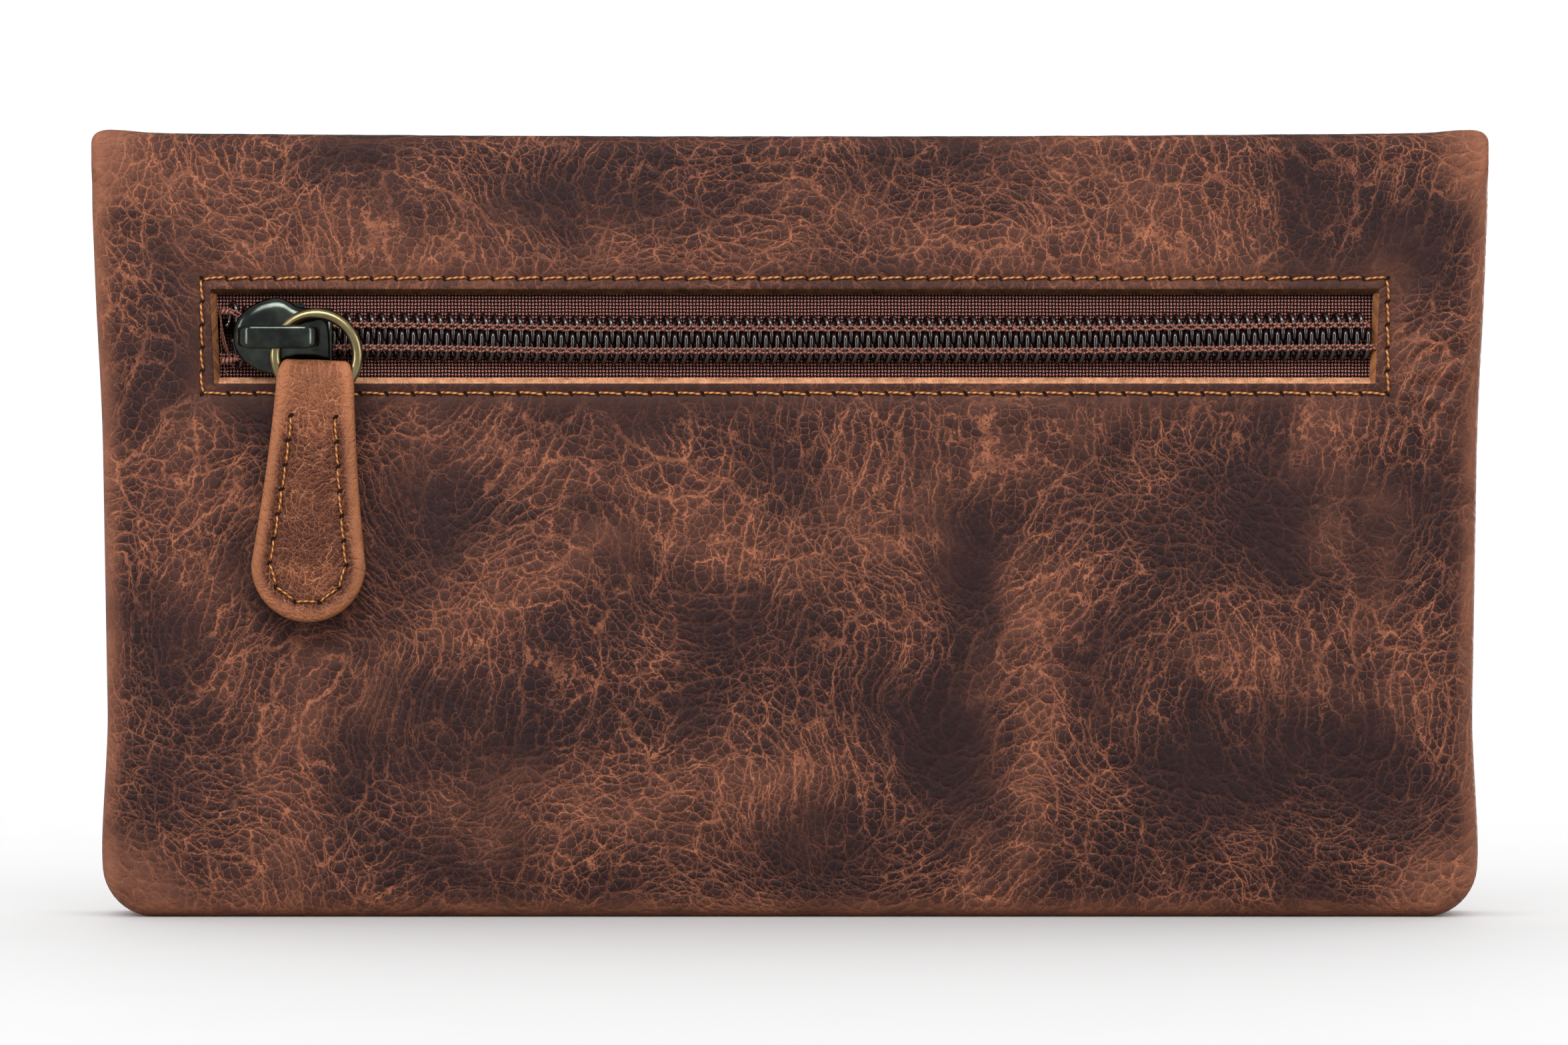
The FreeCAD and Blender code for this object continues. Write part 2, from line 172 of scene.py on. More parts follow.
class Panel:
    """The flat pattern of a sewn panel: a grid inside, and lines of points from it out to the edge and round it.

    Every point has x, s (the length up the panel), d (the depth below its outer face) and flat, its place on the
    unrolled pattern, which the materials use. ring gives the edge's profile for a height: steps of (reach, depth).
    """

    def __init__(self, xs, ss, ring, corner_steps=10, hole=None):
        rows, cols = len(ss), len(xs)
        x, s = (list(values.ravel()) for values in np.meshgrid(xs, ss))
        d, flat = [0.0] * (rows * cols), list(zip(x, s))
        faces = grid_faces(rows, cols, hole)
        index = np.arange(rows * cols).reshape(rows, cols)
        turn = np.linspace(0, QUARTER, corner_steps + 1)[1:-1]
        stations = [(index[i, 0], -1.0, 0.0) for i in range(rows - 1, -1, -1)]
        stations += [(index[0, 0], -math.cos(a), -math.sin(a)) for a in turn]
        stations += [(index[0, j], 0.0, -1.0) for j in range(cols)]
        stations += [(index[0, -1], math.sin(a), -math.cos(a)) for a in turn]
        stations += [(index[i, -1], 1.0, 0.0) for i in range(rows)]
        previous = None
        for anchor, ex, es in stations:
            line, run, last = [anchor], 0.0, (0.0, 0.0)
            for reach, depth in ring(s[anchor]):
                run += math.hypot(reach - last[0], depth - last[1])
                last = (reach, depth)
                line.append(len(x))
                x.append(x[anchor] + ex * reach)
                s.append(s[anchor] + es * reach)
                d.append(depth)
                flat.append((x[anchor] + ex * run, s[anchor] + es * run))
            if previous:
                a, b = previous, line
                faces += [[a[k], a[k + 1], b[k + 1], b[k]] for k in range(len(a) - 1)]
            previous = line
        # The lines at a corner share their first point, so faces drop repeated corners.
        faces = [[v for i, v in enumerate(face) if v != face[i - 1]] for face in faces]
        self.faces = [face for face in faces if len(face) > 2]
        self.x, self.s, self.d, self.flat = (np.array(values) for values in (x, s, d, flat))

    def rim(self, loop, profile):
        """Turns the leather in at a rectangular hole: loop is its points in order, profile steps of (inset, depth)."""
        x, s, d, flat = self.x[loop], self.s[loop], self.d[loop], self.flat[loop]
        in_x, in_s = (np.where(v < v.min() + EPS, 1, np.where(v > v.max() - EPS, -1, 0)) for v in (x, s))
        last = loop
        for inset, depth in profile:
            ring = range(len(self.x), len(self.x) + len(loop))
            self.x = np.append(self.x, x + inset * in_x)
            self.s = np.append(self.s, s + inset * in_s)
            self.d = np.append(self.d, d + depth)
            shift = np.stack([(x.mean() - x) * 0.001, depth * np.where(s < s.mean(), 1, -1)], 1)
            self.flat = np.append(self.flat, flat + shift, 0)
            self.faces += band(last, ring)
            last = ring


class Bundle:
    """Many small shapes gathered into one mesh."""

    def __init__(self):
        self.points, self.faces, self.uv = [], [], []

    def add(self, points, faces, uv=None):
        start = len(self.points)
        self.points += [tuple(p) for p in points]
        self.faces += [[start + v for v in face] for face in faces]
        self.uv += list(uv) if uv is not None else [(p[0], p[2]) for p in points]

    def add_tube(self, path, radius, sides=8):
        """A capped tube along a path; its pattern runs along it and round it."""
        path = np.asarray(path, float)
        points, faces, normal = [], [], None
        for p, t in zip(path, np.gradient(path, axis=0)):
            t = t / max(np.linalg.norm(t), 1e-9)
            if normal is None:
                normal = np.array([0.0, 1.0, 0.0]) if abs(t[1]) < 0.9 else np.array([1.0, 0.0, 0.0])
            normal = normal - t * (normal @ t)
            normal = normal / max(np.linalg.norm(normal), 1e-9)
            side = np.cross(t, normal)
            for k in range(sides):
                a = 2 * math.pi * k / sides
                points.append(p + radius * (normal * math.cos(a) + side * math.sin(a)))
        rings = [range(i * sides, (i + 1) * sides) for i in range(len(path))]
        for a, b in zip(rings, rings[1:]):
            faces += band(a, b)
        faces += [list(rings[0])[::-1], list(rings[-1])]
        self.add(points, faces, [(run, k * 0.3) for run in lengths_along(path) for k in range(sides)])

    def add_stack(self, rings):
        """A solid from closed rings of points, the first and last ones capped with a fan."""
        count = len(rings[0])
        points = [tuple(p) for p in np.concatenate(rings)]
        numbers = [range(k * count, (k + 1) * count) for k in range(len(rings))]
        faces = [face for a, b in zip(numbers, numbers[1:]) for face in band(a, b)]
        low, high = len(points), len(points) + 1
        points += [tuple(np.mean(rings[0], 0)), tuple(np.mean(rings[-1], 0))]
        faces += [[low, (i + 1) % count, i] for i in range(count)]
        faces += [[high, numbers[-1][i], numbers[-1][(i + 1) % count]] for i in range(count)]
        self.add(points, faces)

    def build(self, name, material):
        return mesh_object(name, self.points, self.faces, material, self.uv)


# ---- materials ----
class Value:
    """A node's output, so that sums of outputs can be written plainly."""

    def __init__(self, nodes, socket):
        self.nodes, self.socket = nodes, socket

    def __add__(self, other):
        return self.nodes.math("ADD", self, other)

    def __mul__(self, other):
        return self.nodes.math("MULTIPLY", self, other)

    def __sub__(self, other):
        return self.nodes.math("SUBTRACT", self, other)

    def __rsub__(self, other):
        return self.nodes.math("SUBTRACT", other, self)

    __radd__, __rmul__ = __add__, __mul__


class Nodes:
    """A short way to write a material's node tree."""

    def __init__(self, name):
        self.material = bpy.data.materials.new(name)
        self.material.use_nodes = True
        self.tree = self.material.node_tree
        self.shader = self.tree.nodes["Principled BSDF"]

    def new(self, kind, **settings):
        node = self.tree.nodes.new(kind)
        for key, value in settings.items():
            setattr(node, key, value)
        return node

    def link(self, source, target):
        """Sets an input to a number or colour, or links it to an output."""
        if isinstance(source, Value):
            self.tree.links.new(source.socket, target)
        else:
            target.default_value = source

    def fill(self, node, *values, output=0):
        """Sets a node's first inputs and gives one of its outputs."""
        for socket, value in zip(node.inputs, values):
            self.link(value, socket)
        return Value(self, node.outputs[output])

    def math(self, operation, a, b=0.0, clamp=False):
        return self.fill(self.new("ShaderNodeMath", operation=operation, use_clamp=clamp), a, b)

    def vector(self, operation, a, b):
        return self.fill(self.new("ShaderNodeVectorMath", operation=operation), a, b)

    def ramp(self, value, low, high, out_low=0.0, out_high=1.0):
        """A smooth step of value between low and high."""
        node = self.new("ShaderNodeMapRange", interpolation_type="SMOOTHSTEP")
        return self.fill(node, value, low, high, out_low, out_high)

    def mix(self, factor, a, b):
        node = self.new("ShaderNodeMix", data_type="RGBA")
        for k, value in ((0, factor), (6, a), (7, b)):
            self.link(value, node.inputs[k])
        return Value(self, node.outputs[2])

    def noise(self, vector, scale, detail=3.0, roughness=0.5, output="Fac"):
        node = self.new("ShaderNodeTexNoise")
        for key, value in (("Vector", vector), ("Scale", scale), ("Detail", detail), ("Roughness", roughness)):
            self.link(value, node.inputs[key])
        return Value(self, node.outputs[output])

    def cells(self, vector, wide, high):
        """Distance to the nearest edge of irregular cells of about the given size."""
        node = self.new("ShaderNodeTexVoronoi", feature="DISTANCE_TO_EDGE", voronoi_dimensions="2D")
        self.link(self.vector("MULTIPLY", vector, (1 / wide, 1 / high, 1.0)), node.inputs["Vector"])
        node.inputs["Scale"].default_value = 1.0
        return Value(self, node.outputs[0])

    def split(self, kind, source):
        """The three channels of a colour or a vector."""
        node = self.new(kind)
        self.link(source, node.inputs[0])
        return [Value(self, output) for output in node.outputs]

    def attribute(self, layer):
        """The channels of a per-point colour attribute."""
        node = self.new("ShaderNodeVertexColor", layer_name=layer)
        return self.split("ShaderNodeSeparateColor", Value(self, node.outputs["Color"]))

    def pattern(self):
        """The unrolled pattern's coordinates in millimetres."""
        node = self.new("ShaderNodeUVMap", uv_map="flat")
        return self.vector("MULTIPLY", Value(self, node.outputs[0]), (1 / UV_PER_MM, 1 / UV_PER_MM, 0.0))

    def shaken(self, vector, scale, amount):
        """Coordinates moved about by noise that lies on the pattern."""
        wobble = self.noise(self.pattern(), scale, 2.0, output="Color")
        wobble = self.vector("SUBTRACT", wobble, (0.5, 0.5, 0.5))
        return self.vector("ADD", vector, self.vector("MULTIPLY", wobble, (amount, amount, 0.0)))

    def bump(self, height, distance, strength, under=None):
        node = self.new("ShaderNodeBump")
        self.link(height, node.inputs["Height"])
        self.link(distance * MM, node.inputs["Distance"])
        self.link(strength, node.inputs["Strength"])
        if under is not None:
            self.link(under, node.inputs["Normal"])
        return Value(self, node.outputs[0])

    def finish(self, color, roughness, normal=None, **sockets):
        self.link(color, self.shader.inputs["Base Color"])
        self.link(roughness, self.shader.inputs["Roughness"])
        if normal is not None:
            self.link(normal, self.shader.inputs["Normal"])
        for key, value in sockets.items():
            self.shader.inputs[key.replace("_", " ")].default_value = value
        return self.material


def srgb(*color):
    """A colour given as the eye sees it, 0 to 255, in linear light."""
    parts = [v / 255 for v in color]
    return tuple(v / 12.92 if v < 0.04045 else ((v + 0.055) / 1.055) ** 2.4 for v in parts) + (1.0,)


def grain_leather(name, dark, mid, vein, worn, cell=1.2, contrast=1.0):
    """Pull-up leather: dark pebbles between lighter veins, long creases that follow the hide's flow, lighter wear."""
    n = Nodes(name)
    flat = n.pattern()
    crease, wear, light = n.attribute("tone")
    along = n.fill(n.new("ShaderNodeCombineXYZ"), *n.attribute("flow")[:2])
    along = n.shaken(n.shaken(n.shaken(along, 0.28, 1.8), 1.5, 0.7), 5.0, 0.22)
    small = n.cells(n.shaken(n.shaken(flat, 1.3, 0.8), 5.0, 0.2), cell, cell)
    middle = n.cells(along, 1.9 * cell, 1.15 * cell)
    large = n.cells(n.shaken(along, 0.5, 0.9), 4.6 * cell, 2.3 * cell)
    broken = n.ramp(n.noise(flat, 0.5), 0.38, 0.62)
    patchy = n.ramp(n.noise(flat, 0.11, 3.0, 0.6), 0.3, 0.7)
    speck = n.noise(flat, 7.0, 4.0, 0.8)

    fine, vein_line, fold = (n.ramp(edge, 0.0, width, 1.0, 0.0)
                             for edge, width in ((small, 0.072), (middle, 0.062), (large, 0.036)))
    lines = n.math("MAXIMUM", fine * (0.62 - broken * 0.3), vein_line * (0.22 + broken * 0.70))
    lines = n.math("MAXIMUM", lines, fold * (0.35 + broken * 0.65))
    lines = lines * n.math("MULTIPLY", crease, 1.15, clamp=True)
    glow = n.math("MAXIMUM", n.ramp(middle, 0.0, 0.26, 1.0, 0.0) * 0.23, n.ramp(large, 0.0, 0.13, 1.0, 0.0) * 0.38)
    glow = glow * crease * (0.35 + light * 0.8)

    color = n.mix(n.ramp(patchy * 0.4 + light * 0.8, 0.2, 1.1), dark, mid)
    color = n.mix(n.ramp(speck, 0.45, 0.70, 0.0, 0.6), color, mid)
    color = n.mix(n.math("MULTIPLY", glow, contrast, clamp=True), color, n.mix(0.45, mid, vein))
    color = n.mix(n.math("MULTIPLY", lines, 0.62 + light * 0.4, clamp=True), color, vein)
    rubbed = n.math("MULTIPLY", wear, 0.5 + n.noise(flat, 0.35, 4.0, 0.6) * 0.8, clamp=True)
    color = n.mix(rubbed, color, n.mix(lines * 0.6, worn, vein))
    color = n.mix(n.ramp(speck, 0.32, 0.52, 0.42, 0.0), color, dark)

    dome = n.ramp(small, 0.0, 0.40)
    height = (dome * 0.55 + n.ramp(middle, 0.0, 0.35) * 0.75) * (0.25 + crease * 0.75)
    height = height + n.ramp(large, 0.0, 0.2) * 0.5 + speck * 0.25
    pores = n.bump(n.noise(flat, 14.0, 2.0), 0.02, 0.4)
    rough = 0.40 + ((1.0 - dome) * 0.16 + speck * 0.18)
    return n.finish(color, rough, n.bump(height, 0.12, 0.95, pores), Specular_IOR_Level=0.09)


def cut_edge(name, tan, dark):
    """The raw fibrous edge of cut leather."""
    n = Nodes(name)
    fibre = n.noise(n.pattern(), 5.5, 6.0, 0.75)
    broad = n.noise(n.pattern(), 0.7, 3.0, 0.6)
    color = n.mix(n.ramp(fibre * 0.65 + broad * 0.35, 0.36, 0.64), dark, tan)
    return n.finish(color, 0.85, n.bump(fibre, 0.08, 0.8), Specular_IOR_Level=0.06)


def weave(name, dark, light, pitch, repeat=2.0):
    """Cloth with round yarns that pass over and under, with painted shade in the gaps between them; a repeat of 2 is
    plain and of 4 a twill.
    """
    n = Nodes(name)
    flat = n.shaken(n.pattern(), 0.8, 0.12)
    across, up = (n.math("DIVIDE", axis, pitch) for axis in n.split("ShaderNodeSeparateXYZ", flat)[:2])
    order = n.math("FLOOR", across) + n.math("FLOOR", up)
    over = n.math("LESS_THAN", n.math("FLOORED_MODULO", order, repeat), repeat / 2)
    warp, weft = (n.math("SINE", n.math("FRACT", axis) * math.pi) for axis in (across, up))
    height = over * (warp * (0.55 + weft * 0.45)) + (1.0 - over) * (weft * (0.55 + warp * 0.45))
    fuzz = n.noise(flat, 6.0, 3.0, 0.7)
    # Painted shade: the colour follows the yarns' height, dark in the gaps between them.
    color = n.mix(n.ramp(height + (fuzz - 0.5) * 0.5, 0.5, 0.98), dark, light)
    return n.finish(color, 0.7 + fuzz * 0.2, n.bump(height, pitch * 0.3, 0.9), Specular_IOR_Level=0.06)


def thread(name, dark, light, twist, gloss=0.45):
    """Twisted sewing thread: fine slanting plies along its length."""
    n = Nodes(name)
    run, round_it = n.split("ShaderNodeSeparateXYZ", n.pattern())[:2]
    ply = 0.5 + n.math("SINE", (n.math("DIVIDE", run, twist) + round_it * 0.42) * (2 * math.pi)) * 0.5
    color = n.mix(n.ramp(ply * 0.7 + n.noise(n.pattern(), 9.0) * 0.4, 0.2, 0.9), dark, light)
    return n.finish(color, gloss, n.bump(ply, 0.025, 0.5), Specular_IOR_Level=0.2)


def metal(name, base, edge, rough, cloud=0.35):
    """Plated metal with faint clouding, fine scratches and rubbed spots."""
    n = Nodes(name)
    place = Value(n, n.new("ShaderNodeTexCoord").outputs["Object"])
    cloudy = n.noise(place, 260.0, 4.0, 0.6)
    scratch = n.noise(n.vector("MULTIPLY", place, (900.0, 900.0, 9000.0)), 1.0, 3.0, 0.6)
    color = n.mix(n.ramp(cloudy, 0.35, 0.7, 0.0, cloud), base, edge)
    return n.finish(color, rough + (cloudy * 0.06 + scratch * 0.05), n.bump(scratch, 0.006, 0.4), Metallic=1.0)


def nylon(name, color, tint):
    """Glossy moulded filament."""
    n = Nodes(name)
    mottle = n.noise(n.pattern(), 1.2)
    shade = n.mix(n.ramp(mottle, 0.3, 0.7), color, tint)
    return n.finish(shade, 0.10 + mottle * 0.08, n.bump(mottle, 0.01, 0.3), Specular_IOR_Level=0.42)


LEATHER = grain_leather("pouch_leather", srgb(20, 8, 10), srgb(42, 22, 19), srgb(127, 77, 54), srgb(106, 66, 49))
PULLER_LEATHER = grain_leather("puller_tan_leather", srgb(44, 19, 12), srgb(82, 44, 28), srgb(142, 93, 65),
                               srgb(126, 79, 53), cell=0.62, contrast=0.7)
# Painted shade: a dark copy of the cut edge for the window's upper edge, which faces down.
PAINTED_SHADE_EDGE = cut_edge("painted_shade_leather_edge", srgb(74, 46, 22), srgb(18, 9, 6))
# A darker copy of the cut edge for the two ends of the window.
SIDE_EDGE = cut_edge("window_end_leather_edge", srgb(124, 80, 48), srgb(60, 34, 22))
RAW_EDGE = cut_edge("cut_leather_edge", srgb(176, 128, 96), srgb(92, 56, 38))
# The weaves' dark colours are painted shade in the gaps between yarns.
TAPE = weave("zip_tape_weave", srgb(4, 1, 1), srgb(126, 82, 74), 0.42)
LINING = weave("lining_twill", srgb(20, 11, 9), srgb(66, 45, 35), 0.42, repeat=4.0)
BINDING = weave("seam_binding_weave", srgb(14, 8, 7), srgb(40, 26, 22), 0.6)
THREAD = thread("golden_thread", srgb(80, 43, 17), srgb(152, 99, 48), twist=0.8)
CHAIN_THREAD = thread("zip_chain_thread", srgb(34, 14, 11), srgb(116, 70, 56), twist=0.5, gloss=0.6)
COIL = nylon("zip_coil_nylon", srgb(12, 5, 5), srgb(24, 10, 9))
GUNMETAL = metal("gunmetal_plating", srgb(33, 36, 35), srgb(96, 101, 90), 0.12, cloud=0.25)
BRASS = metal("antique_brass", srgb(102, 92, 64), srgb(156, 146, 112), 0.24)
STEEL = metal("stop_steel", srgb(120, 116, 110), srgb(170, 166, 160), 0.3)
NICKEL = metal("magnet_nickel", srgb(170, 168, 164), srgb(206, 204, 198), 0.22)
# Painted shade: the needle holes are dark discs laid on the surface.
HOLE_SHADE = cut_edge("needle_hole", srgb(26, 12, 8), srgb(8, 4, 3))


# ---- the shape of the leather ----
BASE_HALF = 85.8         # half the width at the base
CORNER = 6.0             # bottom corners
EDGE = 2.6               # rounding of a face into the sides and base
FOLD_R = 2.3             # outer radius of the two folds over the top
HEM = 0.7                # half the thickness of a turned edge
FLAP_HEM = FLAP_THICK / 2
FLAP_CORNER = 12.0
FOLD_START = TOP - FOLD_R
FOLD_RUN = QUARTER * FOLD_R
SPINE_RUN = FLAP_OUTER - BACK_Y - 2 * FOLD_R
MIDDLE = FOLD_START + FOLD_RUN + SPINE_RUN / 2
PATTERN_END = 2 * MIDDLE - FLAP_BOTTOM
FLAP_RUN = PATTERN_END - MIDDLE                       # the flap's pattern, from its lower edge to the spine's middle
FLAP_FLAT = FLAP_RUN - SPINE_RUN / 2 - FOLD_RUN        # and as far as its fold

# Smooth dark places of the hide on the back panel: x, z and the two radii.
CALM = [
    (-46, 22, 17, 6.5), (-47, 49, 7, 10), (24, 44, 6, 5), (62, 51, 9, 11), (74, 44, 5, 9), (55, 18, 10, 8),
    (-26, 88, 13, 4.5), (19, 24, 7, 7), (-79, 33, 5, 6), (4, 10, 9, 4), (78, 84, 6, 5), (72, 18, 7, 8),
    (-8, 37, 7, 5), (40, 31, 5, 9), (-64, 63, 7, 4),
]
# Worn, strongly creased bands: from x, z to x, z, half width and strength.
WORN = [
    (-66, 22, -26, 48, 3.5, 0.9), (-26, 48, 14, 47, 4.5, 0.8), (-42, 12, 2, 17, 3.5, 0.9), (31, 40, 28, 6, 3.0, 1.0),
    (10, 52, 40, 62, 4.0, 0.7), (-80, 90, -42, 82, 5.5, 0.9), (34, 96, 52, 82, 5.5, 0.9), (68, 62, 73, 40, 3.0, 0.7),
    (-62, 30, -66, 4, 4.0, 0.8), (-40, 82, 20, 86, 2.5, 0.5), (0, 90, 34, 84, 3.0, 0.7), (52, 34, 80, 28, 3.0, 0.6),
    (-76, 62, -70, 30, 4.0, 0.6), (-50, 60, -20, 56, 3.0, 0.6), (76, 80, 84, 60, 3.0, 0.6),
]


def fold(s, d):
    """Where a point of the over-the-top pattern lies: s along it from the back's base, d below its outer face."""
    s, d = np.broadcast_arrays(np.asarray(s, float), np.asarray(d, float))
    y, z = BACK_Y + d, s.copy()
    a = np.clip((s - FOLD_START) / FOLD_R, 0, QUARTER)
    past = s > FOLD_START
    y = np.where(past, BACK_Y + FOLD_R - (FOLD_R - d) * np.cos(a), y)
    z = np.where(past, FOLD_START + (FOLD_R - d) * np.sin(a), z)
    t = s - FOLD_START - FOLD_RUN
    y = np.where(t > 0, BACK_Y + FOLD_R + np.minimum(t, SPINE_RUN), y)
    t -= SPINE_RUN
    a = np.clip(t / FOLD_R, 0, QUARTER)
    y = np.where(t > 0, FLAP_OUTER - FOLD_R + (FOLD_R - d) * np.sin(a), y)
    z = np.where(t > 0, FOLD_START + (FOLD_R - d) * np.cos(a), z)
    t -= FOLD_RUN
    y = np.where(t > 0, FLAP_OUTER - d, y)
    z = np.where(t > 0, FOLD_START - t, z)
    return y, z


def half_width(z):
    """Half the pouch's width at a height: tapered, drawn in at the waist and full at both ends."""
    z = np.asarray(z, float)
    straight = BASE_HALF + (HALF - BASE_HALF) * z / TOP
    waist = smooth((z - 12) / 14) * (1 - smooth((z - 58) / 26))
    shoulder = np.clip((z - TOP + 1.7) / 1.7, 0, 1)
    rounded = 1.5 * (1 - np.sqrt(1 - 0.98 * shoulder ** 2))
    return straight - 0.65 * waist + 0.35 * bell(z, 8, 5) + 0.15 * bell(z, 89, 5) - rounded


def crown(x, z):
    """How far the top sinks between the raised ends."""
    x = np.abs(x)
    dip = (0.42 + 0.42 * (1 - np.clip(x / 80, 0, 1) ** 2)) * (1 - smooth((x - 79) / 6))
    return -dip * smooth((z - 88) / 9)


def distance_to_line(x, z, x0, z0, x1, z1):
    dx, dz = x1 - x0, z1 - z0
    t = np.clip(((x - x0) * dx + (z - z0) * dz) / (dx * dx + dz * dz), 0, 1)
    return np.hypot(x - x0 - t * dx, z - z0 - t * dz)


def frame_distance(x, z, x_span, z_span):
    """Distance to a rectangle's outline."""
    outside_x = np.maximum(x_span[0] - x, x - x_span[1])
    outside_z = np.maximum(z_span[0] - z, z - z_span[1])
    inner = np.maximum(outside_x, outside_z)
    outer = np.hypot(np.maximum(outside_x, 0), np.maximum(outside_z, 0))
    return np.where(inner > 0, outer, -inner)


def back_relief(x, z):
    """How far the back panel stands out from its flat plane: fullness, puckers at the zip and soft wrinkles."""
    x, z = np.atleast_1d(x).astype(float), np.atleast_1d(z).astype(float)
    inside = smooth((86 - np.abs(x)) / 14) * smooth(z / 10) * smooth((97 - z) / 9)
    full = 0.55 * inside * (0.6 + 0.4 * bell(z, 40, 34))
    broad = 0.34 * wander(x, z, 27, 3.1, 2) * inside
    ripple = 0.10 * wander(x, z, 8, 7.7, 3) * smooth((88 - np.abs(x)) / 6)
    sewn = frame_distance(x, z, STITCH_X, STITCH_Z)
    groove = -0.2 * bell(sewn, 0, 0.55)
    calm = 1 - 0.85 * bell(frame_distance(x, z, CUT_X, CUT_Z), 0, 3.5)
    pucker = 0.06 * np.cos(x * 2 * math.pi / 3.05) * bell(sewn, 1.1, 0.8)
    from_x, from_z = x - STITCH_X[1] + 3.0, z - STITCH_Z[0]      # wrinkles fan out from the window's lower right corner
    angle, away = np.arctan2(from_z, from_x), np.hypot(from_z, from_x)
    fan = 0.26 * np.sin(angle * 15 + 0.35 * away) * bell(away, 9, 6) * smooth((x - STITCH_X[1] + 4) / 5)
    return full + (broad + ripple + fan) * calm + groove + pucker


def hide_masks(x, z, out, seed, calm_places, worn_places, sewn=None):
    """The tone attribute (how creased, how worn, how light) and the flow one, whose second value is a height field
    that the long creases follow like contour lines; they part round the calm places and thin out on top of them."""
    wx, wz = x + 4.0 * wander(x, z, 12, seed + 1.0), z + 4.0 * wander(x, z, 12, seed + 2.0)
    calm = np.zeros(len(x))
    rise = 0.55 * z + 0.25 * x + 9.0 * wander(x, z, 34, seed + 5.0, 2)
    for cx, cz, rx, rz in calm_places:
        reach = np.hypot((wx - cx) / rx, (wz - cz) / rz)
        calm = np.maximum(calm, 1 - smooth((reach - 0.35) / 1.25))
        rise += 1.15 * min(rx, rz) * np.exp(-((reach / 1.5) ** 2))
    worn = np.zeros(len(x))
    for x0, z0, x1, z1, width, strength in worn_places:
        line = distance_to_line(wx, wz, x0, z0, x1, z1)
        worn = np.maximum(worn, strength * np.exp(-((line / (1.5 * width)) ** 2)))
    drift = wander(x, z, 15, seed + 9.0)
    crease = np.clip(0.62 + 0.75 * drift + 0.5 * worn, 0.22, 1.0) * (1 - 0.66 * calm)
    run = 0.9 * x - 0.3 * z + 8.0 * wander(x, z, 30, seed + 21.0, 2)
    rub = 1.25 * (1 - smooth((out - 0.2) / 4.0)) * (0.8 + 0.4 * wander(x, z, 6, seed + 17.0, 2))
    ear = np.hypot(np.abs(x) - 86, (z - 96) * 0.8)
    foot = np.hypot(np.abs(x) - 85, z - 1)
    rub += 0.6 * (1 - smooth((ear - 1.0) / 7.0)) + 0.5 * (1 - smooth((foot - 4) / 8))
    rub += 0.30 * worn * (0.6 + 0.7 * wander(x, z, 5, seed + 19.0, 2))
    if sewn is not None:
        crease *= 1 - 0.55 * bell(sewn, 0.6, 1.5)
        rub += 0.12 * bell(sewn, 0, 2.4)
    light = np.clip(0.25 + 0.65 * drift + 0.5 * worn - 0.26 * calm, 0, 1)
    tone = np.stack([np.clip(crease, 0, 1), np.clip(rub, 0, 1), light, np.ones(len(x))], 1)
    flow = np.stack([run, rise, np.zeros(len(x)), np.ones(len(x))], 1)
    return {"tone": tone, "flow": flow}


def edge_ring(rim, edge, hem, deep, thin, wall_until=None, hem_from=None, thin_from=1e9, border=7.0):
    """The profile of a panel's edge for each height: a deep wall low down, a turned hem above, nothing past thin_from.

    rim is how far the profile starts inside the edge, edge the wall's rounding and hem half the turned edge's
    thickness.
    """
    turn = np.linspace(0, 1, 8)[1:]

    def wall():
        arc = [(rim - edge + edge * math.sin(a * QUARTER), edge * (1 - math.cos(a * QUARTER))) for a in turn]
        return [(rim * 0.3, 0), (rim * 0.55 - edge * 0.5, 0), (rim - edge, 0)] + arc + \
               [(rim, edge + (deep - edge) * t) for t in np.linspace(0, 1, 9)[1:]]

    def turned(h):
        arc = [(rim - h + h * math.sin(a * QUARTER), h * (1 - math.cos(a * QUARTER))) for a in turn]
        back = [(rim - h + h * math.cos(a), h + h * math.sin(a)) for a in np.linspace(0, QUARTER, 5)[1:]]
        inward = [(rim - h - (border - h) * t, 2 * h) for t in (0.15, 0.4, 0.7, 1.0)]
        return [(rim * 0.3, 0), (rim * 0.6, 0), (rim - h - 0.05, 0)] + arc + back + inward

    flat = [(r, min(d, thin)) for r, d in turned(0.08)]

    def profile(s):
        share = 1.0 if wall_until is None else float(smooth((s - wall_until) / (hem_from - wall_until)))
        lost = float(smooth((s - thin_from) / 0.8))
        mixed = [(a * (1 - share) + c * share, b * (1 - share) + e * share)
                 for (a, b), (c, e) in zip(wall(), turned(hem))]
        return [(a * (1 - lost) + c * lost, b * (1 - lost) + e * lost) for (a, b), (c, e) in zip(mixed, flat)]

    return profile


def loop_round(index):
    """The border of a block of point numbers, in order."""
    return [*index[0], *index[1:, -1], *index[-1, -2::-1], *index[-2:0:-1, 0]]


def hole_loop(xs, ss, x_span, s_span):
    """The grid points round a rectangular hole, in order."""
    cols = [j for j, x in enumerate(xs) if x_span[0] - EPS <= x <= x_span[1] + EPS]
    rows = [i for i, s in enumerate(ss) if s_span[0] - EPS <= s <= s_span[1] + EPS]
    index = np.arange(len(ss) * len(xs)).reshape(len(ss), len(xs))
    return loop_round(index[rows[0]:rows[-1] + 1, cols[0]:cols[-1] + 1])


def leather_object(name, panel, place, masks, flip=False):
    faces = [face[::-1] for face in panel.faces] if flip else panel.faces
    return mesh_object(name, place(panel.x, panel.s, panel.d), faces, LEATHER, panel.flat, masks)


